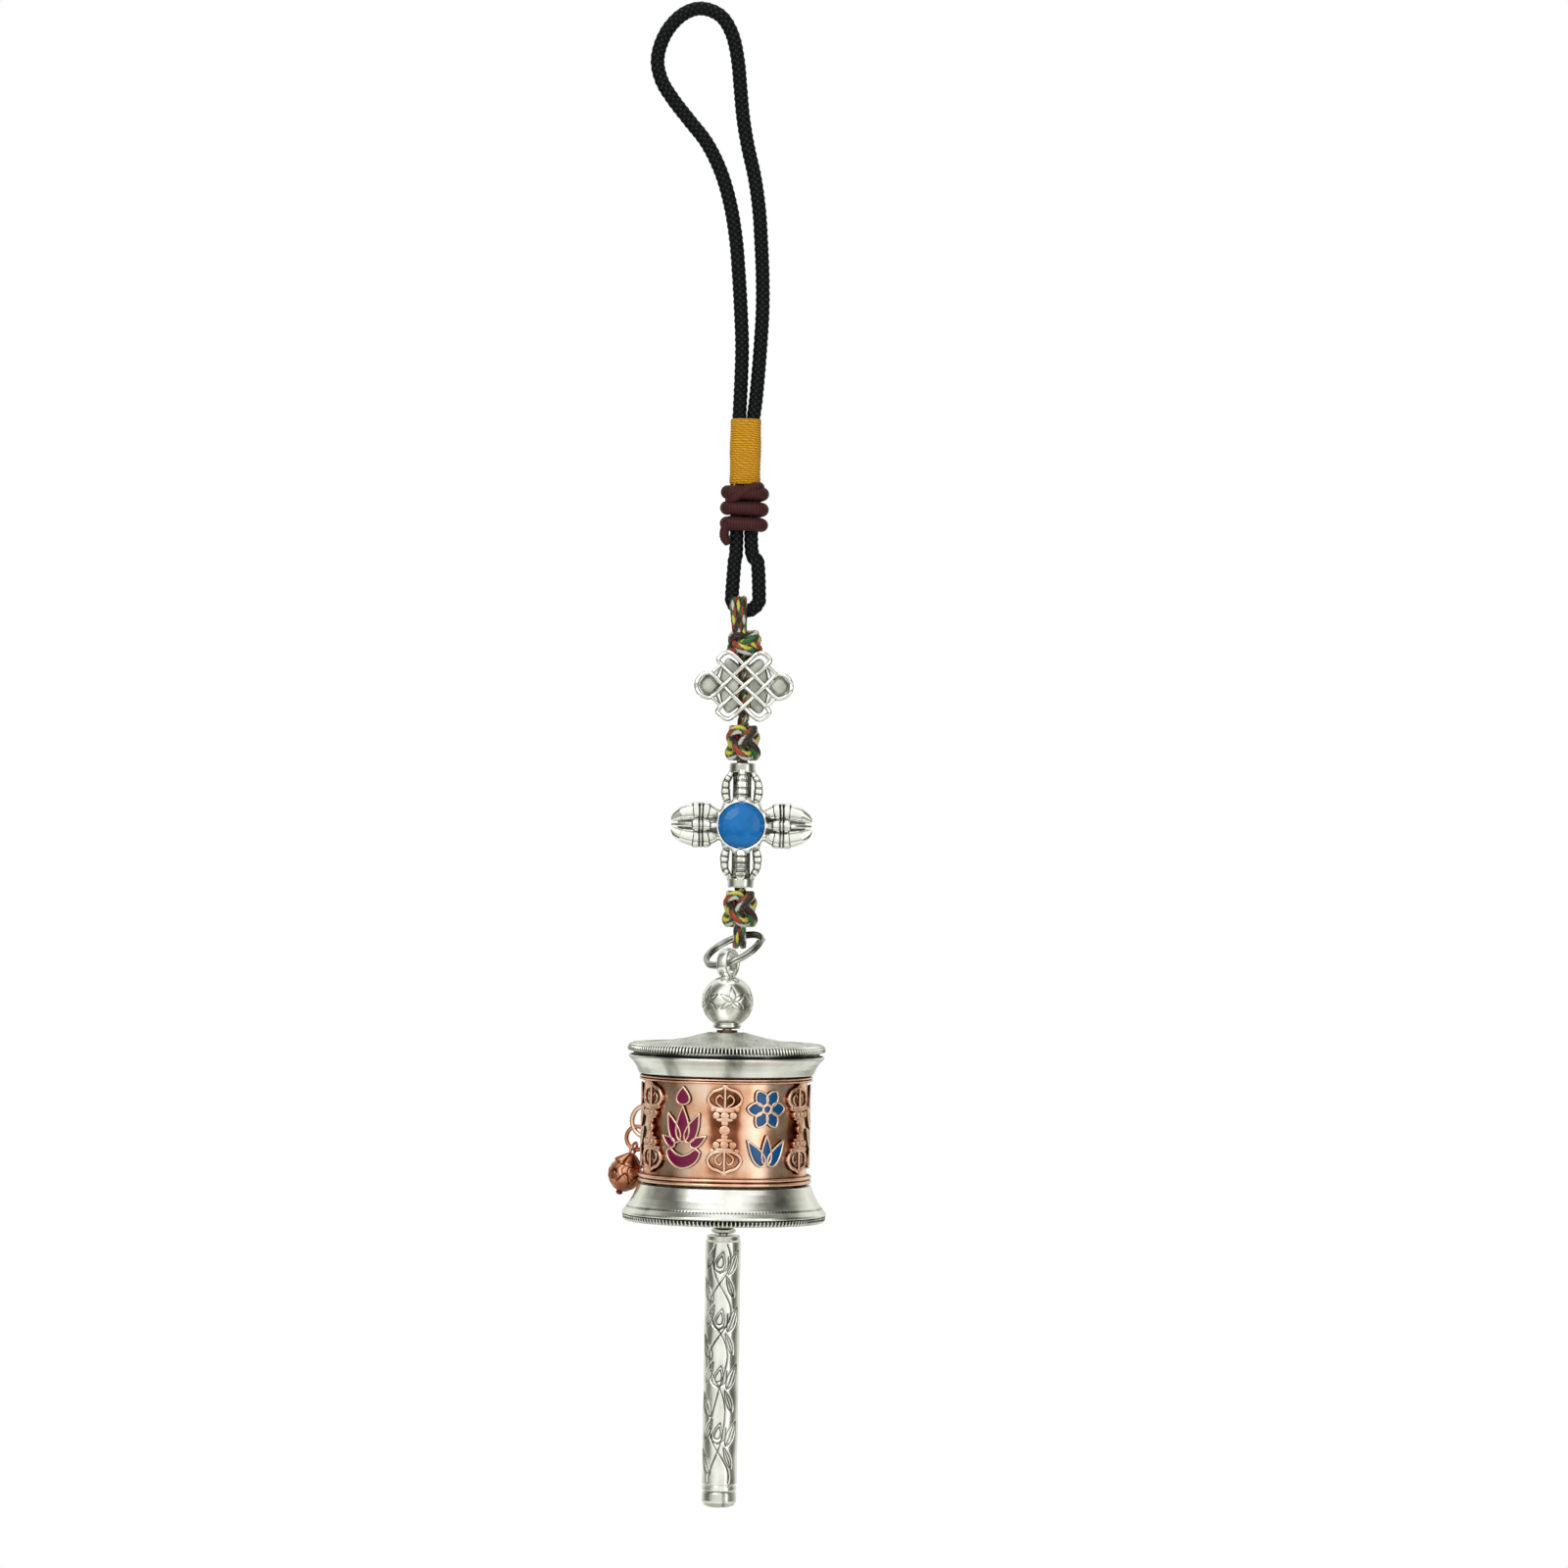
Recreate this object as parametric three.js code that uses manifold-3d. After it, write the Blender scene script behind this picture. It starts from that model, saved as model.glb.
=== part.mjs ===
// Miniature hand prayer wheel on a knotted hanging strap. Millimetres, +Z up.
// The origin is the inside of the top of the cord loop, the point that rests on a hook or finger.
// The cord loop and the knotted string lie in the plane Y = 0, and -Y is the front.
import * as THREE from 'three';
import { mergeVertices } from 'three/addons/utils/BufferGeometryUtils.js';
import Module from 'manifold-3d';

const wasm = await Module();
wasm.setup();

// ---------------------------------------------------------------- driving dimensions
const GAP = 0.3; // clearance kept between touching pieces
const STRING_X = 9.55; // axis of the knotted string
const WHEEL_X = 7.75; // axis of the wheel and its handle
const BINDING_X = 9.1; // centre of the whipping and the wrap

const CORD_D = 2.5; // braided hanging cord
const EYE_R = 2.35; // centreline radius of the cord's lower bight
const EYE_Z = -100.85; // centre of that bight
const STRAND_OFFSET = 1.4; // half the spacing of the two cords in the bindings
const WHIPPING_Z = [-81.2, -69.8];
const WRAP_Z = [-91.9, -81.5];

const STRING_D = 2.0; // five-strand string where it runs straight
const BIGHT_D = 1.4; // the same string where it is pulled flat in a loop
const KNOT_R = 3.1;
const CHARM_Z = -116.1; // centre of the endless-knot charm
const VAJRA_Z = -140.3; // centre of the crossed-vajra charm

const RING_R = 5.2; // split ring, middle of the wire
const RING_WIRE = [0.85, 0.5]; // radial width and thickness of one turn
const RING_Z = -161.7;
const RING_SLOPE = THREE.MathUtils.degToRad(25); // rise of the ring's long axis to the right
const RING_FORESHORTEN = 0.35; // how flat the tilted ring lies, seen from the front

const BALL_R = 4.45; // finial ball
const BALL_Z = -170.3;
const SPINDLE_R = 0.8;
const SPINDLE_Z = [-216, -171.8];
const BORE_R = SPINDLE_R + GAP;

const DRUM_R = 14.05;
const DRUM_WALL = 0.7;
const DRUM_Z = [-201.6, -183.2];
const DRUM_MID_Z = -191.9; // middle of the ornaments
const ORNAMENT_R = DRUM_R + GAP; // back of every ornament
const ORNAMENT_COUNT = 6;
const ORNAMENT_HALF_HEIGHT = 7.6;
const EYE_PLACE = 4; // the ornament place taken by the eye of the weight

const WEIGHT_AZIMUTH = -112; // degrees from the front, towards the left
const STAPLE_R = 2.75;
const STAPLE_WIRE = 0.42;
const HANG_ANGLE = -55; // degrees below level where the link hangs on the staple
const STAPLE_Z = -191.7;
const LINK_R = 2.0;
const LINK_WIRE = 0.4;
const WEIGHT_BALL = { r: 18.6, z: -201.4, size: 3.05 };

const HANDLE_R = 3.05;
const HANDLE_Z = [-254.6, -210.7];
const HANDLE_WALL = 0.5;
const CAP_Z = [-257.4, -254.9];

// ---------------------------------------------------------------- finishes
const finish = (color, roughness, metalness) =>
  new THREE.MeshStandardMaterial({ color, roughness, metalness });

const FINISH = {
  cord: () => finish('#101014', 0.85, 0),
  thread: () => finish('#dca018', 0.6, 0),
  wrap: () => finish('#3b1414', 0.8, 0),
  string: () => finish('#7a5a2a', 0.55, 0.2),
  silver: () => finish('#d8dad4', 0.25, 1),
  steel: () => finish('#c4c6c4', 0.2, 1),
  copper: () => finish('#c98a6a', 0.3, 1),
  darkCopper: () => finish('#8a4a34', 0.35, 1),
  brass: () => finish('#c9a75a', 0.35, 1),
  blue: () => finish('#05418a', 0.15, 0),
  magenta: () => finish('#7c1546', 0.15, 0),
  green: () => finish('#0f5a3a', 0.15, 0),
  paper: () => finish('#e6dcc0', 0.9, 0),
  wood: () => finish('#7a5230', 0.8, 0),
};

// ---------------------------------------------------------------- shape helpers
// Turned body: the profile is [radius, height] pairs, round the Z axis.
function turned(profile, segments = 24) {
  const points = profile.map(([radius, height]) => new THREE.Vector2(radius, height));
  return new THREE.LatheGeometry(points, segments).rotateX(Math.PI / 2);
}

// Ring of rectangular section between two radii and two heights.
function washer(inner, outer, low, high, segments = 24) {
  return turned([[inner, low], [outer, low], [outer, high], [inner, high], [inner, low]], segments);
}

// Ring of round wire about the Z axis, of 8 sides.
function wireRing(radius, wire, segments = 20) {
  const profile = [];
  for (let i = 0; i <= 8; i += 1) {
    const angle = (i % 8) * Math.PI / 4;
    profile.push([radius + wire * Math.cos(angle), wire * Math.sin(angle)]);
  }
  return turned(profile, segments);
}

// Tube of a round cord: a regular polygon carried along a curve.
function tube(curve, diameter, steps, sides = 8) {
  const section = [];
  for (let i = 0; i < sides; i += 1) {
    const angle = (i + 0.5) * 2 * Math.PI / sides;
    section.push(new THREE.Vector2(Math.cos(angle), Math.sin(angle)).multiplyScalar(diameter / 2));
  }
  return new THREE.ExtrudeGeometry(new THREE.Shape(section),
    { steps, bevelEnabled: false, extrudePath: curve });
}

function smoothCurve(points) {
  return new THREE.CatmullRomCurve3(points.map((p) => new THREE.Vector3(...p)));
}

// Straight round bar between two points.
function bar(from, to, radius, sides) {
  const start = new THREE.Vector3(...from);
  const axis = new THREE.Vector3(...to).sub(start);
  const geometry = new THREE.CylinderGeometry(radius, radius, axis.length(), sides);
  const turn = new THREE.Quaternion().setFromUnitVectors(
    new THREE.Vector3(0, 1, 0), axis.clone().normalize());
  const middle = start.clone().addScaledVector(axis, 0.5);
  return geometry.applyQuaternion(turn).translate(middle.x, middle.y, middle.z);
}

function toSolid(geometry) {
  const bare = geometry.clone();
  bare.deleteAttribute('normal');
  bare.deleteAttribute('uv');
  const merged = mergeVertices(bare, 1e-4);
  const index = merged.index.array;
  const kept = [];
  for (let i = 0; i < index.length; i += 3) {
    const [a, b, c] = [index[i], index[i + 1], index[i + 2]];
    if (a !== b && b !== c && c !== a) kept.push(a, b, c);
  }
  return new wasm.Manifold(new wasm.Mesh({
    numProp: 3,
    vertProperties: new Float32Array(merged.attributes.position.array),
    triVerts: new Uint32Array(kept),
  }));
}

function toGeometry(solid) {
  const mesh = solid.getMesh();
  const geometry = new THREE.BufferGeometry();
  geometry.setAttribute('position', new THREE.BufferAttribute(mesh.vertProperties, mesh.numProp));
  geometry.setIndex(new THREE.BufferAttribute(mesh.triVerts, 1));
  geometry.computeVertexNormals();
  return geometry;
}

const joined = (geometries) => geometries.map(toSolid).reduce((a, b) => a.add(b));

function piece(parent, name, geometry, material) {
  const mesh = new THREE.Mesh(geometry, material);
  mesh.name = name;
  parent.add(mesh);
  return mesh;
}

function groupAt(parent, x, y, z) {
  const group = new THREE.Group();
  group.position.set(x, y, z);
  parent.add(group);
  return group;
}

const prayerWheel = new THREE.Group();

// ---------------------------------------------------------------- hanging cord and its bindings
// Route of the cord's loop: up the right side, round the top and down the left side.
const LOOP_ROUTE = [
  [10.5, 0, -69.5], [10.75, 0, -66.5], [11.1, 0, -62], [11.4, 0, -57], [11.65, 0, -51],
  [11.55, 0, -45], [11.2, 0, -39], [10.75, 0, -33.5], [9.9, 0, -28], [8.6, 0, -22.5],
  [7.7, 0, -17.5], [7.15, 0, -12.5], [6.6, 0, -7.5], [5.5, 0, -3], [3.4, 0, 0.1],
  [0, 0, CORD_D / 2], [-3.3, 0, 0.0], [-6.0, 0, -3.2], [-7.3, 0, -7.4], [-6.6, 0, -11.2],
  [-4.5, 0, -14.6], [-1.7, 0, -18.1], [1.5, 0, -22.1], [4.0, 0, -27], [5.7, 0, -32.5],
  [6.8, 0, -38.5], [7.4, 0, -44.5], [7.85, 0, -50.5], [8.2, 0, -57], [8.1, 0, -63], [7.7, 0, -69.5],
];

// Rounded slot outline, wider than deep, as two cords lie side by side.
function slotOutline(width, depth) {
  const outline = new THREE.Shape();
  const reach = (width - depth) / 2;
  outline.absarc(reach, 0, depth / 2, -Math.PI / 2, Math.PI / 2, false);
  outline.absarc(-reach, 0, depth / 2, Math.PI / 2, 1.5 * Math.PI, false);
  return outline;
}

function slotSleeve(width, depth, wall, [low, high]) {
  const outline = slotOutline(width, depth);
  if (wall > 0) outline.holes.push(slotOutline(width - 2 * wall, depth - 2 * wall));
  return new THREE.ExtrudeGeometry(outline,
    { depth: high - low, bevelEnabled: false, curveSegments: 7 }).translate(BINDING_X, 0, low);
}

function eyeCurve() {
  const points = [];
  const top = WRAP_Z[0] - GAP;
  points.push([BINDING_X - STRAND_OFFSET, 0, top], [STRING_X - 2.0, 0, top - 3]);
  for (let i = 0; i <= 8; i += 1) {
    const angle = Math.PI + i * Math.PI / 8;
    const x = STRING_X + EYE_R * Math.cos(angle);
    points.push([x, 0, EYE_Z + EYE_R * Math.sin(angle)]);
  }
  points.push([STRING_X + 2.0, 0, top - 3], [BINDING_X + STRAND_OFFSET, 0, top]);
  return smoothCurve(points);
}

function addHangingCord() {
  const strap = groupAt(prayerWheel, 0, 0, 0);
  const neckZ = [WRAP_Z[0], WHIPPING_Z[1]];
  piece(strap, 'hanging_cord', tube(smoothCurve(LOOP_ROUTE), CORD_D, 60), FINISH.cord());
  piece(strap, 'cord_neck', slotSleeve(4.3, 2.0, 0, neckZ), FINISH.cord());
  piece(strap, 'thread_whipping', slotSleeve(5.5, 3.2, 0.3, WHIPPING_Z), FINISH.thread());
  piece(strap, 'cord_wrap', slotSleeve(8.5, 6.2, 1.8, WRAP_Z), FINISH.wrap());
  piece(strap, 'cord_eye', tube(eyeCurve(), CORD_D, 20), FINISH.cord());
}

// ---------------------------------------------------------------- five-strand string
// Bight of the string over or under a wire: two legs with a half circle between them.
// side is +1 for a bight that arches up over the wire at height z, -1 for one hanging below it.
function bight(reach, z, side, legEnd) {
  const points = [[0, -reach, legEnd]];
  for (let i = 0; i <= 6; i += 1) {
    const angle = Math.PI - i * Math.PI / 6;
    points.push([0, reach * Math.cos(angle), z + side * reach * Math.sin(angle)]);
  }
  points.push([0, reach, legEnd]);
  return tube(smoothCurve(points), BIGHT_D, 14);
}

// A tied knot as a turned bulge with softened ends of their own radii.
function knot(low, high, lowRadius, highRadius) {
  const bend = 1.4;
  return turned([
    [0, low], [lowRadius, low], [KNOT_R * 0.96, low + bend], [KNOT_R, (low + high) / 2],
    [KNOT_R * 0.96, high - bend], [highRadius, high], [0, high],
  ], 16);
}

const KNOTS = {
  upper: { low: -110.9, high: -106.4, lowRadius: 1.5, highRadius: 2.6 },
  middle: { low: -129.1, high: -122.9, lowRadius: 2.0, highRadius: 1.8 },
  lower: { low: -158.0, high: -151.6, lowRadius: 2.5, highRadius: 2.0 },
};

// Centre of the ring's wire where the string holds it; the finial's eye hangs on the far side.
function ringGrip() {
  const half = (STRING_X - WHEEL_X) / 2;
  const across = Math.cos(RING_SLOPE);
  const down = -Math.sin(RING_SLOPE) * RING_FORESHORTEN;
  const angle = Math.acos(half / RING_R / Math.hypot(across, down)) + Math.atan2(down, across);
  const depth = Math.sqrt(1 - RING_FORESHORTEN ** 2);
  const rise = Math.cos(RING_SLOPE) * RING_FORESHORTEN;
  return new THREE.Vector3(
    RING_R * (across * Math.cos(angle) + down * Math.sin(angle)),
    RING_R * depth * Math.sin(angle),
    RING_R * (Math.sin(RING_SLOPE) * Math.cos(angle) + rise * Math.sin(angle)));
}

const GRIP = ringGrip();
const WHEEL_Y = -2 * GRIP.y;
const GRIP_Z = RING_Z + GRIP.z; // wire in the string's lower bight
const BAIL_Z = RING_Z - GRIP.z; // wire in the finial's eye

function addString() {
  const string = groupAt(prayerWheel, STRING_X, 0, 0);
  const cordReach = CORD_D / 2 + GAP + BIGHT_D / 2;
  const ringReach = 0.7 + GAP + 0.15 + BIGHT_D / 2;
  const { upper, middle, lower } = KNOTS;
  const run = (high, low) => new THREE.CylinderGeometry(STRING_D / 2, STRING_D / 2, high - low, 10)
    .rotateX(Math.PI / 2).translate(0, 0, (high + low) / 2);
  piece(string, 'string_upper_bight',
    bight(cordReach, EYE_Z - EYE_R, 1, upper.high + GAP), FINISH.string());
  piece(string, 'string_lower_bight',
    bight(ringReach, GRIP_Z, -1, lower.low - GAP), FINISH.string());
  piece(string, 'string_upper_run', run(upper.low - GAP, middle.high + GAP), FINISH.string());
  piece(string, 'string_lower_run', run(middle.low - GAP, lower.high + GAP), FINISH.string());
  for (const [place, k] of Object.entries(KNOTS)) {
    piece(string, `string_${place}_knot`, knot(k.low, k.high, k.lowRadius, k.highRadius),
      FINISH.string());
  }
}

// ---------------------------------------------------------------- endless-knot charm
// Two lattices of wire, one in front of the string and one behind, joined round the edge.
function addKnotCharm() {
  const wire = 0.3;
  const sheet = STRING_D / 2 + GAP + wire;
  const quarter = [[0, 2.7], [1.5, 4.9], [2.9, 5.6], [4.3, 4.5], [5.0, 2.2], [7.1, 1.6], [8.1, 0]];
  const outline = [];
  for (const [sx, sz] of [[1, 1], [1, -1], [-1, -1], [-1, 1]]) {
    const corner = quarter.map(([x, z]) => [sx * x, sz * z]);
    outline.push(...(sx * sz > 0 ? corner : corner.reverse()));
  }
  const lattice = [[[-5.0, -2.2], [0, 2.7]], [[0, -2.7], [5.0, 2.2]], [[-4.3, -4.5], [4.3, 4.5]]];
  const bars = [];
  for (const side of [-sheet, sheet]) {
    outline.forEach(([x, z], i) => {
      const [nextX, nextZ] = outline[(i + 1) % outline.length];
      if (Math.hypot(nextX - x, nextZ - z) < 0.01) return;
      bars.push(bar([x, side, z], [nextX, side, nextZ], wire, 4));
    });
    for (const [[x0, z0], [x1, z1]] of lattice) {
      bars.push(bar([x0, side, z0], [x1, side, z1], wire, 4));
      bars.push(bar([-x0, side, z0], [-x1, side, z1], wire, 4));
    }
  }
  const reach = sheet + wire;
  for (const [x, z] of [[8.1, 0], [5.0, 2.2], [5.0, -2.2], [-8.1, 0], [-5.0, 2.2], [-5.0, -2.2]]) {
    bars.push(bar([x, -reach, z], [x, reach, z], wire * 1.3, 4));
  }
  const charm = groupAt(prayerWheel, STRING_X, 0, CHARM_Z);
  piece(charm, 'endless_knot_charm', toGeometry(joined(bars)), FINISH.silver());
}

// ---------------------------------------------------------------- crossed-vajra charm
// Cross of four lotus arms round a hub that holds a stone on each face, bored for the string.
function addVajraCharm() {
  const bore = STRING_D / 2 + GAP;
  const hub = turned([
    [0, -2.4], [4.25, -2.4], [4.25, -3.1], [4.7, -3.1], [4.9, 0],
    [4.7, 3.1], [4.25, 3.1], [4.25, 2.4], [0, 2.4],
  ], 20).rotateX(Math.PI / 2);
  const sideArm = turned([
    [0, 3.5], [2.2, 3.5], [3.5, 5.6], [3.6, 7.6], [2.9, 9.6], [1.0, 11.6], [0, 11.9],
  ], 12);
  const roundArm = turned([
    [0, 3.5], [2.4, 3.5], [3.3, 5.2], [3.3, 7.6], [2.5, 9.2], [2.2, 9.3], [2.2, 10.8], [0, 10.8],
  ], 12);
  const arms = [
    sideArm.clone().rotateY(Math.PI / 2), sideArm.clone().rotateY(-Math.PI / 2),
    roundArm.clone(), roundArm.clone().rotateX(Math.PI),
  ];
  const drill = new THREE.CylinderGeometry(bore, bore, 30, 12).rotateX(Math.PI / 2);
  const charm = groupAt(prayerWheel, STRING_X, 0, VAJRA_Z);
  const body = joined([hub, ...arms]).subtract(toSolid(drill));
  piece(charm, 'crossed_vajra_charm', toGeometry(body), FINISH.silver());
  const dome = [[0, 2.7], [3.95, 2.7], [3.8, 3.1], [2.8, 3.7], [1.4, 4.0], [0, 4.1]];
  for (const [name, turn] of [['stone_front', Math.PI / 2], ['stone_back', -Math.PI / 2]]) {
    piece(charm, name, turned(dome, 20).rotateX(turn), FINISH.blue());
  }
}

// ---------------------------------------------------------------- split ring
// Two turns of flat wire wound in a close coil about the ring's own axis.
function addSplitRing() {
  const [width, thickness] = RING_WIRE;
  const pitch = thickness + 0.1;
  const turns = 1.92;
  class Coil extends THREE.Curve {
    getPoint(t, target = new THREE.Vector3()) {
      const angle = 2 * Math.PI * turns * t;
      return target.set(RING_R * Math.cos(angle), RING_R * Math.sin(angle),
        pitch * turns * (t - 0.5));
    }

    computeFrenetFrames(segments) {
      const frames = { tangents: [], normals: [], binormals: [] };
      for (let i = 0; i <= segments; i += 1) {
        const angle = 2 * Math.PI * turns * i / segments;
        frames.tangents.push(new THREE.Vector3(-Math.sin(angle), Math.cos(angle), 0));
        frames.normals.push(new THREE.Vector3(Math.cos(angle), Math.sin(angle), 0));
        frames.binormals.push(new THREE.Vector3(0, 0, -1));
      }
      return frames;
    }
  }
  const section = new THREE.Shape([[-1, -1], [1, -1], [1, 1], [-1, 1]].map(
    ([a, b]) => new THREE.Vector2(a * width / 2, b * thickness / 2)));
  const coil = new THREE.ExtrudeGeometry(section,
    { steps: 46, bevelEnabled: false, extrudePath: new Coil() });
  const long = new THREE.Vector3(Math.cos(RING_SLOPE), 0, Math.sin(RING_SLOPE));
  const short = new THREE.Vector3(
    -Math.sin(RING_SLOPE) * RING_FORESHORTEN,
    Math.sqrt(1 - RING_FORESHORTEN ** 2),
    Math.cos(RING_SLOPE) * RING_FORESHORTEN);
  const basis = new THREE.Matrix4().makeBasis(long, short, long.clone().cross(short));
  const ring = groupAt(prayerWheel, (STRING_X + WHEEL_X) / 2, -GRIP.y, RING_Z);
  ring.quaternion.setFromRotationMatrix(basis);
  piece(ring, 'split_ring', coil, FINISH.steel());
}

// ---------------------------------------------------------------- finial, spindle and handle
function addSpindleBody() {
  const body = groupAt(prayerWheel, WHEEL_X, WHEEL_Y, 0);
  const eye = washer(1.75, 2.6, -0.55, 0.55, 20)
    .rotateY(Math.PI / 2).rotateZ(-Math.PI / 6).translate(0, 0, BAIL_Z);
  const ball = new THREE.SphereGeometry(BALL_R, 20, 12).rotateX(Math.PI / 2).translate(0, 0, BALL_Z);
  const collar = turned([
    [0, -175.2], [2.2, -175.2], [2.35, -174.9], [2.2, -174.2], [1.9, -173.8], [0, -173.8],
  ], 20);
  const drill = new THREE.CylinderGeometry(BORE_R, BORE_R, 6, 12)
    .rotateX(Math.PI / 2).translate(0, 0, SPINDLE_Z[1] + GAP - 3);
  const finial = joined([eye, ball, collar]).subtract(toSolid(drill));
  piece(body, 'finial', toGeometry(finial), FINISH.silver());
  piece(body, 'spindle', turned([
    [0, SPINDLE_Z[0]], [SPINDLE_R, SPINDLE_Z[0]], [SPINDLE_R, SPINDLE_Z[1]], [0, SPINDLE_Z[1]],
  ], 12), FINISH.steel());
  piece(body, 'upper_washer', washer(BORE_R, 1.8, -175.9, -175.5, 16), FINISH.brass());
  piece(body, 'lower_washer', washer(BORE_R, 1.9, -209.2, -208.8, 16), FINISH.brass());
  piece(body, 'handle_bead', turned([
    [BORE_R, -210.4], [1.9, -210.4], [2.1, -209.95], [1.9, -209.5], [BORE_R, -209.5],
    [BORE_R, -210.4],
  ], 20), FINISH.silver());
  const [low, high] = HANDLE_Z;
  const inner = HANDLE_R - HANDLE_WALL;
  piece(body, 'handle_tube', turned([
    [BORE_R, high], [BORE_R, high - 1.2], [inner, high - 1.2], [inner, low], [HANDLE_R - 0.1, low],
    [HANDLE_R - 0.1, low + 0.8], [HANDLE_R, low + 1.2], [HANDLE_R, high - 1.1],
    [HANDLE_R - 0.2, high - 0.8], [HANDLE_R - 0.1, high], [BORE_R, high],
  ], 20), FINISH.silver());
  const core = inner - GAP;
  const coreTop = high - 1.2 - GAP;
  const boreEnd = SPINDLE_Z[0] - GAP;
  piece(body, 'handle_core', turned([
    [0, low + 1.2], [core, low + 1.2], [core, coreTop], [BORE_R, coreTop], [BORE_R, boreEnd],
    [0, boreEnd],
  ], 16), FINISH.wood());
  const [capLow, capHigh] = CAP_Z;
  piece(body, 'handle_cap', turned([
    [0, capLow], [2.0, capLow], [2.65, capLow + 0.35], [2.95, capLow + 1.0], [2.95, capHigh],
    [core, capHigh], [core, low + 1.2 - GAP], [0, low + 1.2 - GAP],
  ], 20), FINISH.silver());
}

// ---------------------------------------------------------------- drum
// Raised ornament: an outline in the drum's tangent plane, cut to a plate that follows the wall.
function curvedPlate(outline, thickness, azimuth) {
  const block = new THREE.ExtrudeGeometry(outline,
    { depth: 4, bevelEnabled: false, curveSegments: 4 });
  block.rotateX(Math.PI / 2).translate(0, 2 - DRUM_R, 0);
  const reach = ORNAMENT_HALF_HEIGHT + 1;
  const skin = washer(ORNAMENT_R, ORNAMENT_R + thickness, -reach, reach, 48);
  const plate = toGeometry(toSolid(block).intersect(toSolid(skin)));
  return plate.rotateZ(azimuth).translate(0, 0, DRUM_MID_Z);
}

function mirroredOutline(halfWidths) {
  const right = halfWidths.map(([half, z]) => new THREE.Vector2(half, z));
  const left = halfWidths.map(([half, z]) => new THREE.Vector2(-half, z)).reverse();
  return new THREE.Shape([...right, ...left]);
}

// Vajra seen from the side: ball in the middle, a lotus and a closed crown of prongs at each end.
function vajraOutline() {
  const upper = [[0.8, 0.9], [1.9, 2.4], [1.4, 3.3], [2.9, 4.6], [2.5, 6.3], [0.8, 7.2], [0.3, 7.6]];
  const lower = upper.map(([half, z]) => [half, -z]).reverse();
  return mirroredOutline([...lower, [1.1, 0], ...upper]);
}

// Pointed bud of the given half width and half height.
function budOutline(halfWidth, halfHeight) {
  const bud = new THREE.Shape();
  bud.moveTo(0, -halfHeight);
  bud.bezierCurveTo(halfWidth * 0.9, -halfHeight, halfWidth, -halfHeight * 0.5, halfWidth, -0.5);
  bud.bezierCurveTo(halfWidth, halfHeight * 0.5, halfWidth * 0.3, halfHeight * 0.7, 0, halfHeight);
  bud.bezierCurveTo(-halfWidth * 0.3, halfHeight * 0.7, -halfWidth, halfHeight * 0.5,
    -halfWidth, -0.5);
  bud.bezierCurveTo(-halfWidth, -halfHeight * 0.5, -halfWidth * 0.9, -halfHeight, 0, -halfHeight);
  return bud;
}

function addOrnaments(drum) {
  const enamel = [FINISH.magenta, FINISH.blue, FINISH.green];
  const half = { width: 3.5, height: ORNAMENT_HALF_HEIGHT - 0.4 };
  const frame = budOutline(half.width, half.height);
  frame.holes.push(budOutline(half.width - 0.6, half.height - 1.0));
  const fill = budOutline(half.width - 0.6 - GAP, half.height - 1.0 - 2 * GAP);
  for (let i = 0; i < ORNAMENT_COUNT; i += 1) {
    const azimuth = i * 2 * Math.PI / ORNAMENT_COUNT;
    const between = azimuth - Math.PI / ORNAMENT_COUNT;
    if (i !== EYE_PLACE) {
      piece(drum, `vajra_ornament_${i + 1}`, curvedPlate(vajraOutline(), 0.8, azimuth),
        FINISH.copper());
    }
    piece(drum, `enamel_frame_${i + 1}`, curvedPlate(frame, 0.65, between), FINISH.copper());
    piece(drum, `enamel_${i + 1}`, curvedPlate(fill, 0.45, between), enamel[i % 3]());
  }
}

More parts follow.
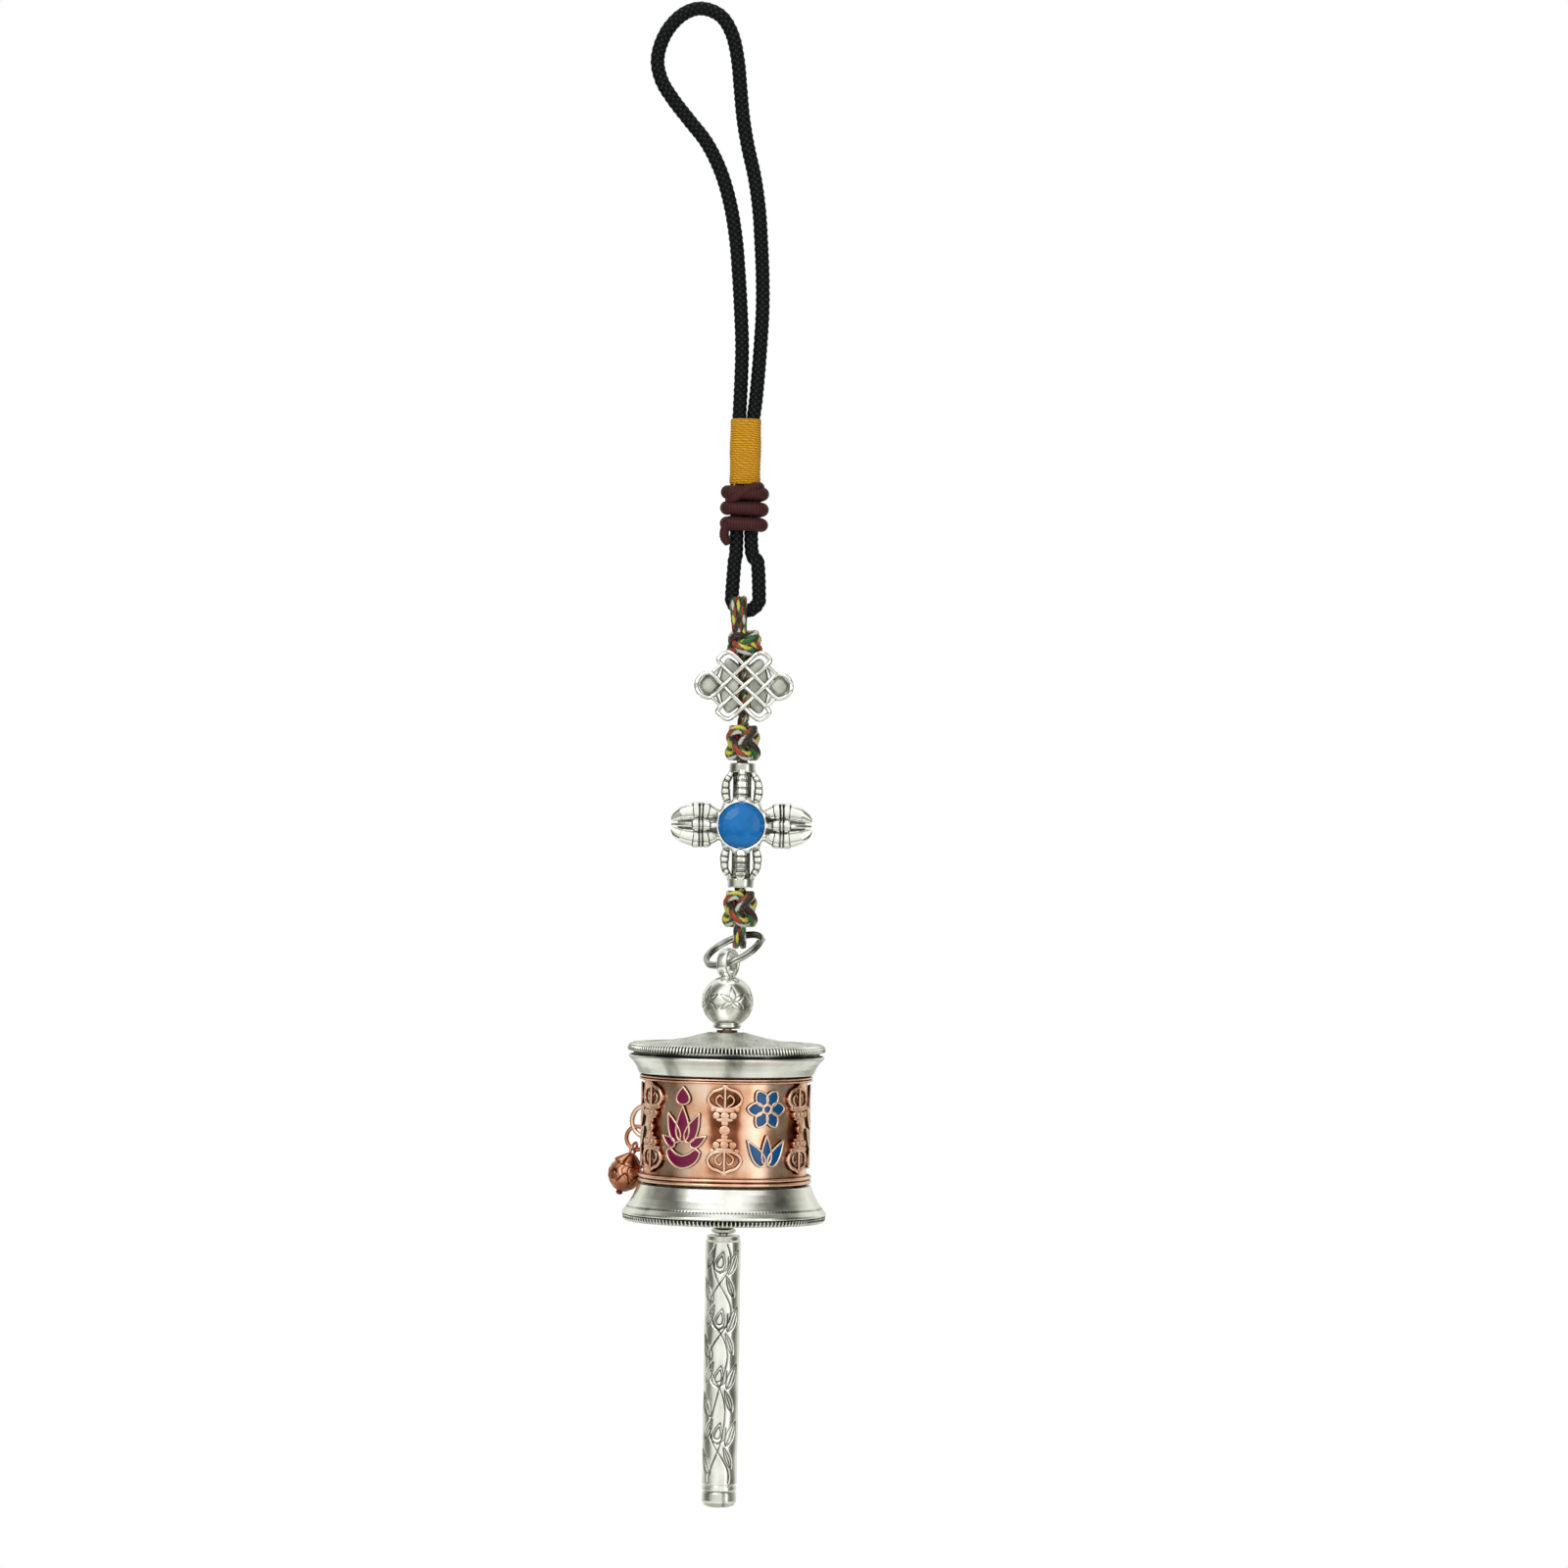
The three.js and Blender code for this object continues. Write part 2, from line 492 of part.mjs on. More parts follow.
function addDrum() {
  const drum = groupAt(prayerWheel, WHEEL_X, WHEEL_Y, 0);
  const bushR = 1.9;
  const hole = bushR + GAP;
  const inner = DRUM_R - DRUM_WALL;
  piece(drum, 'lid', turned([
    [hole, -176.9], [7, -177.9], [13, -178.8], [15.3, -179.1], [15.1, -180.8], [14.4, -182.9],
    [15.0, -182.9], [15.6, -181.8], [16.5, -180.3], [16.6, -179.8], [16.0, -179.8], [16.0, -178.1],
    [13.5, -177.9], [10, -177.6], [7, -177.0], [4, -176.2], [hole, -175.9], [hole, -176.9],
  ], 32), FINISH.silver());
  piece(drum, 'lid_bush', washer(BORE_R, bushR, -178.2, -176.2, 16), FINISH.brass());
  piece(drum, 'lid_beading', turned([
    [16.3, -179.5], [16.9, -179.5], [17.0, -179.2], [16.8, -178.5], [16.3, -178.3], [16.3, -179.5],
  ], 32), FINISH.silver());
  const rim = (low, high) => turned([
    [ORNAMENT_R, low], [14.7, low], [14.8, low + 0.3], [14.6, (low + high) / 2],
    [14.8, high - 0.3], [14.7, high], [ORNAMENT_R, high], [ORNAMENT_R, low],
  ], 32);
  piece(drum, 'upper_rim', rim(-184.1, -183.2), FINISH.copper());
  piece(drum, 'drum_shell', washer(inner, DRUM_R, DRUM_Z[0], DRUM_Z[1], 32), FINISH.copper());
  piece(drum, 'lower_rim', rim(-201.6, -200.1), FINISH.copper());
  piece(drum, 'base', turned([
    [hole, -207.1], [17.2, -207.2], [17.6, -207.0], [16.9, -206.0], [16.0, -204.6], [15.2, -203.1],
    [14.75, -201.9], [14.0, -201.9], [14.4, -203.1], [15.2, -204.6], [15.7, -206.1],
    [hole, -206.2], [hole, -207.1],
  ], 32), FINISH.silver());
  piece(drum, 'base_reeding', washer(15.6, 16.9, -208.5, -207.5, 32), FINISH.silver());
  piece(drum, 'base_bush', washer(BORE_R, bushR, -208.4, -206.3, 16), FINISH.brass());
  piece(drum, 'scroll_core', washer(BORE_R + 0.2, 2.4, -205.7, -178.7, 16), FINISH.wood());
  piece(drum, 'paper_scroll', washer(2.4 + GAP, 11.5, -204.5, -180.0, 24), FINISH.paper());
  addOrnaments(drum);
  addWeight(drum);
}

// ---------------------------------------------------------------- hanging weight
// Built in the upright plane through the drum's axis: +X outwards, +Z up, Y along the drum wall.
// The weight leans outwards, its ball resting near the flare of the base.
function addWeight(drum) {
  const side = new THREE.Group();
  side.rotation.z = THREE.MathUtils.degToRad(WEIGHT_AZIMUTH - 90);
  drum.add(side);

  const plateFace = ORNAMENT_R + 0.55;
  const arc = new THREE.Shape();
  arc.absarc(0, 0, STAPLE_R + STAPLE_WIRE, -Math.PI / 2, Math.PI / 2, false);
  arc.absarc(0, 0, STAPLE_R - STAPLE_WIRE, Math.PI / 2, -Math.PI / 2, true);
  const staple = new THREE.ExtrudeGeometry(arc,
    { depth: 2 * STAPLE_WIRE, bevelEnabled: false, curveSegments: 10 })
    .rotateX(Math.PI / 2).translate(plateFace - 0.2, STAPLE_WIRE, STAPLE_Z);
  const plateHeight = 2 * (STAPLE_R + STAPLE_WIRE) + 0.4;
  const plate = new THREE.BoxGeometry(0.5, 2.4, plateHeight)
    .translate(plateFace - 0.25 + 0.05, 0, STAPLE_Z);
  piece(side, 'weight_eye', toGeometry(joined([staple, plate])), FINISH.copper());

  // Hanging point on the staple, a little below its furthest reach.
  const hold = new THREE.Vector2(STAPLE_R, 0).rotateAround(new THREE.Vector2(),
    THREE.MathUtils.degToRad(HANG_ANGLE)).add(new THREE.Vector2(plateFace - 0.2, STAPLE_Z));
  const lean = new THREE.Vector2(WEIGHT_BALL.r, WEIGHT_BALL.z).sub(hold);
  const chain = new THREE.Group();
  chain.position.set(hold.x, 0, hold.y);
  chain.rotation.y = -Math.atan2(lean.x, -lean.y);
  side.add(chain);

  const linkDrop = LINK_R - LINK_WIRE - 1.4 * GAP - STAPLE_WIRE;
  piece(chain, 'weight_link',
    wireRing(LINK_R, LINK_WIRE, 16).rotateY(Math.PI / 2).translate(0, 0, -linkDrop),
    FINISH.darkCopper());
  const linkFoot = -linkDrop - LINK_R;
  const ballZ = -lean.length();
  const loop = wireRing(LINK_WIRE + GAP + 0.3, 0.3, 14).rotateX(Math.PI / 2)
    .translate(0, 0, linkFoot);
  const cap = turned([
    [0, linkFoot - 2.6], [2.0, linkFoot - 2.6], [1.7, linkFoot - 1.9], [0.9, linkFoot - 1.2],
    [0.6, linkFoot - 0.9], [0, linkFoot - 0.9],
  ], 16);
  const size = WEIGHT_BALL.size;
  const ballTop = linkFoot - 2.6 - GAP;
  piece(chain, 'weight_cap', toGeometry(joined([loop, cap])), FINISH.darkCopper());
  piece(chain, 'weight_ball', turned([
    [0, ballZ - size - 0.6], [0.5, ballZ - size], [1.8, ballZ - 0.8 * size],
    [0.85 * size, ballZ - 0.5 * size], [size, ballZ], [0.85 * size, ballZ + 0.5 * size],
    [1.9, ballTop], [0, ballTop],
  ], 18), FINISH.darkCopper());
}

addHangingCord();
addString();
addKnotCharm();
addVajraCharm();
addSplitRing();
addSpindleBody();
addDrum();

export default prayerWheel;
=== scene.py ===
import math

import bpy
import numpy as np
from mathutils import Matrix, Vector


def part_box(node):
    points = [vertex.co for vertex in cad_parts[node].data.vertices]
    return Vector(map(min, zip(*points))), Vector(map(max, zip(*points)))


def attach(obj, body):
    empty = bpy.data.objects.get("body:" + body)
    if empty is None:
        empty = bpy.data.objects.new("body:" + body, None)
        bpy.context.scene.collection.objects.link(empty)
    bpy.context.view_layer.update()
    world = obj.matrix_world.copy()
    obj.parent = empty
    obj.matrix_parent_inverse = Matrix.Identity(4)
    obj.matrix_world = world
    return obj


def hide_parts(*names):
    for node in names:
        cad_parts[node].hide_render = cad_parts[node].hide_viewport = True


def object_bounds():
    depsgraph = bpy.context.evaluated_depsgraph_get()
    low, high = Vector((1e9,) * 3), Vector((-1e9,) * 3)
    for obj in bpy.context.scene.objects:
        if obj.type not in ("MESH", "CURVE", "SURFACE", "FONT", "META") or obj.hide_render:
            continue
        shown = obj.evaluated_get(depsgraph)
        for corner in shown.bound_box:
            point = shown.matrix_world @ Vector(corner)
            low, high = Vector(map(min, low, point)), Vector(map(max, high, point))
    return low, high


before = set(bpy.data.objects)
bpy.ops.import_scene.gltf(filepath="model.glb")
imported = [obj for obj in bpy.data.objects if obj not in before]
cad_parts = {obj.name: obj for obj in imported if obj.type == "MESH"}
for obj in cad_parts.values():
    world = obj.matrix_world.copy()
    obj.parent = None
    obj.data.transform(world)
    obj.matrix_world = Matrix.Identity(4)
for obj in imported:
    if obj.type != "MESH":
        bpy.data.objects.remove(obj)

cad_low, cad_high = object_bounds()

# ---------------------------------------------------------------- sizes, in millimetres
MM = 0.001
TAU = 2 * math.pi
Y_AXIS = np.array([0.0, 1.0, 0.0])
Z_AXIS = np.array([0.0, 0.0, 1.0])

CORD_D = 2.5
LOOP_ROUTE = [
    (10.2, 0, -71.6), (10.4, 0, -69.5), (10.75, 0, -66.5), (11.1, 0, -62), (11.4, 0, -57), (11.65, 0, -51),
    (11.55, 0, -45), (11.2, 0, -39), (10.75, 0, -33.5), (9.9, 0, -28), (8.6, 0, -22.5),
    (7.7, 0, -17.5), (7.15, 0, -12.5), (6.6, 0, -7.5), (5.5, 0, -3), (3.4, 0, 0.1),
    (0, 0, 1.25), (-3.3, 0, 0), (-6, 0, -3.2), (-7.3, 0, -7.4), (-6.6, 0, -11.2),
    (-4.5, 0, -14.6), (-1.7, 0, -18.1), (1.5, 0, -22.1), (4, 0, -27), (5.7, 0, -32.5),
    (6.8, 0, -38.5), (7.4, 0, -44.5), (7.85, 0, -50.5), (8.2, 0, -57), (8.15, 0, -63), (7.95, 0, -69.5),
    (7.9, 0, -71.6),
]
RING_SLOPE = math.radians(25)
RING_FORESHORTEN = 0.35
RING_R = 5.2
EYE_TURN = math.radians(-30)
ORNAMENT_TURN = TAU / 6
WEIGHT_AZIMUTH = math.radians(-112)


def node_low(node):
    """Lowest corner of a node's box, in millimetres."""
    return np.array(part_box(node)[0]) / MM


def node_high(node):
    """Highest corner of a node's box, in millimetres."""
    return np.array(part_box(node)[1]) / MM


def node_middle(node):
    """Middle of a node's box, in millimetres."""
    return (node_low(node) + node_high(node)) / 2


STRING = node_middle("string_upper_run")[:2]
WHEEL = node_middle("drum_shell")[:2]
BINDING_X = node_middle("cord_wrap")[0]
DRUM_R = (node_high("drum_shell")[0] - node_low("drum_shell")[0]) / 2


# ---------------------------------------------------------------- camera and light
def add_camera():
    """Level camera in front of the piece, turned a degree about its own axis."""
    frame_width = 272.0
    distance = 1050.0
    data = bpy.data.cameras.new("front_camera")
    data.lens = data.sensor_width * distance / frame_width
    data.clip_end = 20.0
    camera = bpy.data.objects.new("front_camera", data)
    bpy.context.scene.collection.objects.link(camera)
    camera.location = (16.8 * MM, -distance * MM, -133.0 * MM)
    camera.rotation_euler = (math.pi / 2, math.radians(-1.0), 0)
    bpy.context.scene.camera = camera


def add_soft_light(name, place, target, width, height, power):
    """Rectangular soft light at a place, facing a target, all in metres."""
    data = bpy.data.lights.new(name, "AREA")
    data.shape = "RECTANGLE"
    data.size = width
    data.size_y = height
    data.energy = power
    light = bpy.data.objects.new(name, data)
    bpy.context.scene.collection.objects.link(light)
    light.location = place
    toward = np.array(target) - np.array(place)
    reach = np.linalg.norm(toward)
    light.rotation_euler = (math.acos(-toward[2] / reach), 0, math.atan2(toward[1], toward[0]) - math.pi / 2)
    return light


# ---------------------------------------------------------------- mesh building
def grid_faces(rows, columns, first, along):
    """Quads of a grid whose columns close on themselves, and whose rows do when along is true."""
    i, j = np.meshgrid(np.arange(rows if along else rows - 1), np.arange(columns), indexing="ij")
    below = (i + 1) % rows * columns
    beside = (j + 1) % columns
    quads = np.stack([i * columns + j, i * columns + beside, below + beside, below + j], axis=-1)
    return quads.reshape(-1, 4) + first


def cap_faces(rows, columns, first):
    """Fans of triangles that close the first and last rows on a middle point each, which follow the grid."""
    j = np.arange(columns)
    beside = (j + 1) % columns
    start = rows * columns
    last = (rows - 1) * columns
    low = np.stack([np.full(columns, start), beside, j], axis=-1)
    high = np.stack([np.full(columns, start + 1), last + j, last + beside], axis=-1)
    return np.concatenate([low, high]) + first


def body(points, along=False, wear=0.6, strand=0.0, run=None, finish=0):
    """One closed surface: a grid of points, its wear (0 in hollows, 1 on crowns), which is patina on
    metal and painted shade and highlight on cords and string, its strand colour number and the distances
    along and round it that thread patterns follow."""
    rows, columns = points.shape[:2]
    if run is None:
        length = np.linalg.norm(np.diff(points, axis=0), axis=2).mean(axis=1)
        distance = np.concatenate([[0], np.cumsum(length)])
        turn = np.arange(columns) / columns
        run = np.stack(np.meshgrid(distance, turn, indexing="ij"), axis=-1)
    return {
        "points": points, "along": along, "finish": finish, "run": run,
        "wear": np.broadcast_to(np.asarray(wear, float), (rows, columns)),
        "strand": np.broadcast_to(np.asarray(strand, float), (rows, columns)),
    }


def with_caps(values, along):
    """Grid values as a list of points, followed by the means of the first and last rows if it is capped."""
    flat = values.reshape(-1, *values.shape[2:])
    if along:
        return flat
    return np.concatenate([flat, values[:1].mean(axis=1), values[-1:].mean(axis=1)])


def make_piece(name, bodies, rides, finishes, replaces=()):
    """One object from closed surfaces given in millimetres, at the origin, riding on a body of the model."""
    points, wear, strand, run, quads, fans, quad_finish, fan_finish = ([] for _ in range(8))
    first = 0
    for b in bodies:
        rows, columns = b["points"].shape[:2]
        points.append(with_caps(b["points"], b["along"]))
        wear.append(with_caps(b["wear"], b["along"]))
        strand.append(with_caps(b["strand"], b["along"]))
        run.append(with_caps(b["run"], b["along"]))
        quads.append(grid_faces(rows, columns, first, b["along"]))
        quad_finish.append(np.full(len(quads[-1]), b["finish"]))
        if not b["along"]:
            fans.append(cap_faces(rows, columns, first))
            fan_finish.append(np.full(len(fans[-1]), b["finish"]))
        first += len(points[-1])
    fans = fans or [np.zeros((0, 3), int)]
    fan_finish = fan_finish or [np.zeros(0, int)]
    quads, fans = np.concatenate(quads), np.concatenate(fans)
    corners = np.concatenate([quads.ravel(), fans.ravel()]).astype(np.int32)
    starts = np.concatenate([np.arange(len(quads)) * 4, quads.size + np.arange(len(fans)) * 3])
    points = np.concatenate(points)
    mesh = bpy.data.meshes.new(name)
    mesh.vertices.add(len(points))
    mesh.vertices.foreach_set("co", (points * MM).astype(np.float32).ravel())
    mesh.loops.add(len(corners))
    mesh.loops.foreach_set("vertex_index", corners)
    mesh.polygons.add(len(starts))
    mesh.polygons.foreach_set("loop_start", starts.astype(np.int32))
    for finish in finishes:
        mesh.materials.append(finish)
    mesh.polygons.foreach_set(
        "material_index", np.concatenate(quad_finish + fan_finish).astype(np.int32))
    mesh.polygons.foreach_set("use_smooth", np.ones(len(starts), bool))
    mesh.update(calc_edges=True)
    mesh.validate()
    # the wear attribute carries patina on metal and painted shade and highlight on cords and string
    for label, values in (("wear", wear), ("strand", strand)):
        attribute = mesh.attributes.new(label, "FLOAT", "POINT")
        attribute.data.foreach_set("value", np.concatenate(values).astype(np.float32))
    run = np.concatenate(run)
    attribute = mesh.attributes.new("run", "FLOAT_VECTOR", "POINT")
    attribute.data.foreach_set(
        "vector", np.column_stack([run, np.zeros(len(run))]).astype(np.float32).ravel())
    piece = bpy.data.objects.new(name, mesh)
    bpy.context.scene.collection.objects.link(piece)
    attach(piece, rides)
    if replaces:
        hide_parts(*replaces)
    return piece


# ---------------------------------------------------------------- curves and surfaces
def unit(vectors):
    """Vectors scaled to length 1."""
    return vectors / np.maximum(np.linalg.norm(vectors, axis=-1, keepdims=True), 1e-12)


def smooth(points, count, closed=False):
    """Catmull-Rom curve through the points, as `count` points at equal steps along it."""
    p = np.asarray(points, float)
    if closed:
        p = np.vstack([p[-1:], p, p[:2]])
    else:
        p = np.vstack([2 * p[0] - p[1], p, 2 * p[-1] - p[-2]])
    s = np.linspace(0, 1, 24, endpoint=False)[:, None, None]
    a, b, c, d = p[:-3], p[1:-2], p[2:-1], p[3:]
    curve = 0.5 * (2 * b + (c - a) * s + (2 * a - 5 * b + 4 * c - d) * s**2 + (3 * b - a - 3 * c + d) * s**3)
    curve = curve.transpose(1, 0, 2).reshape(-1, p.shape[1])
    curve = np.vstack([curve, curve[:1] if closed else p[-2:-1]])
    length = np.concatenate([[0], np.cumsum(np.linalg.norm(np.diff(curve, axis=0), axis=1))])
    at = np.linspace(0, length[-1], count, endpoint=not closed)
    return np.column_stack([np.interp(at, length, column) for column in curve.T])


def path_length(path):
    """Distance along a path at each of its points, from its first."""
    step = np.linalg.norm(np.diff(path, axis=0), axis=1)
    return np.concatenate([[0], np.cumsum(step)])


def swept(path, radius, reference, sides=12, closed=False, flat=1.0, square=2.0, turn=0.0):
    """Section carried along a path. Point (i, j) is path[i] + radius · (flat · cos a · side + sin a · up),
    with a = j's share of a turn plus the turn, side square to the path and to the reference direction, and
    the circle drawn out to a rounded square where the exponent `square` is over 2."""
    path = np.asarray(path, float)
    if closed:
        tangent = unit(np.roll(path, -1, axis=0) - np.roll(path, 1, axis=0))
    else:
        tangent = unit(np.gradient(path, axis=0))
    side = unit(np.cross(np.broadcast_to(reference, path.shape), tangent))
    up = np.cross(tangent, side)
    angle = TAU * np.arange(sides) / sides + np.reshape(turn, (-1, 1))
    corner = (np.abs(np.cos(angle))**square + np.abs(np.sin(angle))**square)**(-1 / square)
    radius = np.broadcast_to(np.asarray(radius, float).reshape(-1, 1) if np.ndim(radius) < 2 else radius,
                             (len(path), sides))
    across = (radius * corner * np.cos(angle) * np.reshape(flat, (-1, 1)))[..., None] * side[:, None]
    upward = (radius * corner * np.sin(angle))[..., None] * up[:, None]
    return path[:, None] + across + upward


def crisp_rows(profile, step, bevel=0.03):
    """Points at even steps along a broken line, with one close before and behind each of its corners."""
    p = np.asarray(profile, float)
    length = np.concatenate([[0], np.cumsum(np.linalg.norm(np.diff(p, axis=0), axis=1))])
    corners = length[1:-1]
    even = np.linspace(0, length[-1], max(2, int(length[-1] / step) + 1))
    clear = even[np.abs(even[:, None] - corners).min(axis=1, initial=np.inf) > bevel]
    at = np.unique(np.concatenate([clear, corners - bevel, corners + bevel, length[[0, -1]]]))
    return np.column_stack([np.interp(at, length, column) for column in p.T])


def turned(rows, segments, centre, relief=None, closed=False):
    """Body turned about an upright axis. Row i is a circle of that radius and height, its points at angles
    measured from the front towards the right, and each point is moved along its normal by the relief,
    a function of the angle, the distance along the profile, the radius and the height."""
    rows = np.asarray(rows, float)
    if closed:
        direction = np.roll(rows, -1, axis=0) - np.roll(rows, 1, axis=0)
    else:
        direction = np.gradient(rows, axis=0)
    direction = unit(direction)
    distance = path_length(rows)
    angle = TAU * np.arange(segments) / segments
    a, s = np.meshgrid(angle, distance, indexing="xy")
    shift, wear = (np.zeros_like(a), np.full_like(a, 0.6)) if relief is None else relief(
        a, s, rows[:, :1] + 0 * a, rows[:, 1:] + 0 * a)
    r = rows[:, :1] + shift * direction[:, 1:]
    z = rows[:, 1:] - shift * direction[:, :1]
    points = np.stack([centre[0] + r * np.sin(a), centre[1] - r * np.cos(a), z], axis=-1)
    run = np.stack([s, a * rows[:, :1].mean()], axis=-1)
    return body(points, along=closed, wear=wear, run=run)


def braid(along, angle, pitch, strands):
    """Height and carrier number of a round braid. a and b count the crossings of its two families of
    strands, and the first family lies on top where their whole numbers add to an even one."""
    a = strands * angle / TAU + along / pitch
    b = strands * angle / TAU - along / pitch
    over = (np.floor(a) + np.floor(b)) % 2 == 0
    across_a = np.abs(np.sin(np.pi * a))
    across_b = np.abs(np.sin(np.pi * b))
    height = np.where(over, across_a**0.6 * (0.7 + 0.3 * across_b), across_b**0.6 * (0.7 + 0.3 * across_a))
    carrier = np.where(over, np.floor(a) % 3, 3 + np.floor(b) % 3)
    return height, (carrier + 0.5) / 6


def braided(path, reference, diameter, pitch, strands, sides, depth=0.12, closed=False, turn=0.0, flat=1.0):
    """Braided cord along a path: a round section whose radius is its core's plus the braid's height."""
    along = path_length(path)[:, None]
    if closed:
        whole = along[-1, 0] + np.linalg.norm(path[0] - path[-1])
        pitch = whole / max(1, round(whole / pitch))
    angle = TAU * np.arange(sides)[None] / sides
    height, carrier = braid(along, angle, pitch, strands)
    points = swept(path, diameter / 2 - depth * (1 - height), reference, sides, closed, flat, 2.0, turn)
    run = np.stack([along + 0 * angle, angle + 0 * along], axis=-1)
    return body(points, along=closed, wear=height, strand=carrier, run=run)


def on_drum(x, z, lift, azimuth):
    """Point of the drum's wall: x millimetres round it from the azimuth, z above its middle, lifted off
    it."""
    angle = azimuth + np.asarray(x) / DRUM_R
    r = DRUM_R + np.asarray(lift)
    middle = node_middle("enamel_frame_1")[2]
    return np.stack([WHEEL[0] + r * np.sin(angle), WHEEL[1] - r * np.cos(angle), middle + np.asarray(z)],
                    axis=-1)


# ---------------------------------------------------------------- finishes
def colour(code):
    """Linear colour of an sRGB hex value."""
    channel = np.array([int(code[i:i + 2], 16) for i in (1, 3, 5)]) / 255
    linear = np.where(channel <= 0.04045, channel / 12.92, ((channel + 0.055) / 1.055)**2.4)
    return (*linear, 1.0)


def node(tree, kind, inputs=None, stops=None, stepped=False, **settings):
    """Adds a shader node and sets its settings and colour stops. An input takes a value, a socket to link, or
    a node whose first output is linked."""
    made = tree.nodes.new(kind)
    for label, value in settings.items():
        setattr(made, label, value)
    for label, value in (inputs or {}).items():
        if isinstance(value, bpy.types.Node):
            value = value.outputs[0]
        if isinstance(value, bpy.types.NodeSocket):
            tree.links.new(value, made.inputs[label])
        else:
            made.inputs[label].default_value = value
    if stops:
        made.color_ramp.interpolation = "CONSTANT" if stepped else "LINEAR"
        elements = made.color_ramp.elements
        while len(elements) < len(stops):
            elements.new(0.5)
        for element, (place, code) in zip(elements, stops):
            element.position = place
            element.color = colour(code)
    return made


def new_finish(name):
    """Empty node material."""
    material = bpy.data.materials.new(name)
    material.use_nodes = True
    material.node_tree.nodes.clear()
    return material, material.node_tree


def finish_with(tree, inputs):
    """Principled surface with these inputs, joined to the output."""
    surface = node(tree, "ShaderNodeBsdfPrincipled", inputs)
    node(tree, "ShaderNodeOutputMaterial", {"Surface": surface.outputs["BSDF"]})


def plated_metal(name, stops, roughness, grain_mm, grain_depth_mm, worn=True):
    """Plated casting: the plate is bright on raised edges, a grey or brown patina stays in the hollows,
    and buffing leaves soft clouds of gloss 4 mm across with a fine grain."""
    material, tree = new_finish(name)
    place = node(tree, "ShaderNodeTexCoord").outputs["Object"]
    cloud = node(tree, "ShaderNodeTexNoise", {"Vector": place, "Scale": 1 / (4 * MM), "Detail": 3.0})
    grain = node(tree, "ShaderNodeTexNoise", {"Vector": place, "Scale": 1 / (grain_mm * MM), "Detail": 5.0})
    if worn:
        # the attribute carries patina in the hollows, and on the lid and base also painted reflection bands
        level = node(tree, "ShaderNodeAttribute", attribute_name="wear").outputs["Fac"]
    else:
        level = node(tree, "ShaderNodeMapRange", {"Value": cloud, "To Min": 0.5, "To Max": 0.8})
    mottle = node(tree, "ShaderNodeMapRange", {
        "Value": cloud, "From Min": 0.3, "From Max": 0.7, "To Min": -0.16, "To Max": 0.16})
    shade = node(tree, "ShaderNodeMath", {0: level, 1: mottle}, operation="ADD")
    buffed = node(tree, "ShaderNodeMapRange", {
        "Value": cloud, "From Min": 0.3, "From Max": 0.7, "To Min": roughness, "To Max": roughness + 0.12})
    dulled = node(tree, "ShaderNodeMapRange", {
        "Value": level, "From Min": 0.1, "From Max": 0.6, "To Min": 0.14, "To Max": 0.0})
    finish_with(tree, {
        "Base Color": node(tree, "ShaderNodeValToRGB", {"Fac": shade}, stops), "Metallic": 1.0,
        "Roughness": node(tree, "ShaderNodeMath", {0: buffed, 1: dulled}, operation="ADD"),
        "Normal": node(tree, "ShaderNodeBump", {
            "Height": grain, "Distance": grain_depth_mm * MM, "Strength": 0.5})})
    return material


def spun_yarn(name, deep, crown, fibre_mm=0.12, roughness=0.62, sheen=0.25, slant=2.2, glint=1.0, gloss=0.35):
    """Cord or thread of spun fibres: matt with a faint sheen, with a painted highlight on the crowns and
    painted shade in the hollows, and drawn with the slanting fibres that the eye reads as twist."""
    material, tree = new_finish(name)
    place = node(tree, "ShaderNodeTexCoord").outputs["Object"]
    run = node(tree, "ShaderNodeAttribute", attribute_name="run").outputs["Vector"]
    fibre = node(tree, "ShaderNodeTexWave", {
        "Vector": node(tree, "ShaderNodeMapping", {"Vector": run, "Rotation": (0, 0, slant)}),
        "Scale": 1 / (fibre_mm * 6.3), "Distortion": 2.5, "Detail": 2.0, "Detail Scale": 2.0}).outputs["Fac"]
    fuzz = node(tree, "ShaderNodeTexNoise", {"Vector": place, "Scale": 1 / (0.25 * MM), "Detail": 3.0})
    wear = node(tree, "ShaderNodeAttribute", attribute_name="wear").outputs["Fac"]
    # painted highlight and shade: crowns are lightened towards the crown colour, hollows darkened; the glint
    # power narrows the highlight to the very tops
    raised = node(tree, "ShaderNodeMath", {0: wear, 1: glint}, operation="POWER")
    raised = node(tree, "ShaderNodeMapRange", {"Value": raised, "To Min": 0.0, "To Max": 0.8})
    drawn = node(tree, "ShaderNodeMapRange", {"Value": fibre, "To Min": -0.1, "To Max": 0.15})
    fluffed = node(tree, "ShaderNodeMapRange", {
        "Value": fuzz, "From Min": 0.3, "From Max": 0.7, "To Min": -0.12, "To Max": 0.12})
    level = node(tree, "ShaderNodeMath", {0: raised, 1: drawn}, operation="ADD")
    level = node(tree, "ShaderNodeMath", {0: level, 1: fluffed}, operation="ADD")
    finish_with(tree, {
        "Base Color": node(tree, "ShaderNodeValToRGB", {"Fac": level}, [(0.05, deep), (0.85, crown)]),
        "Roughness": roughness, "Sheen Weight": sheen, "Sheen Roughness": 0.4, "Specular IOR Level": gloss,
        "Normal": node(tree, "ShaderNodeBump", {"Height": fibre, "Distance": 0.03 * MM, "Strength": 0.6})})
    return material


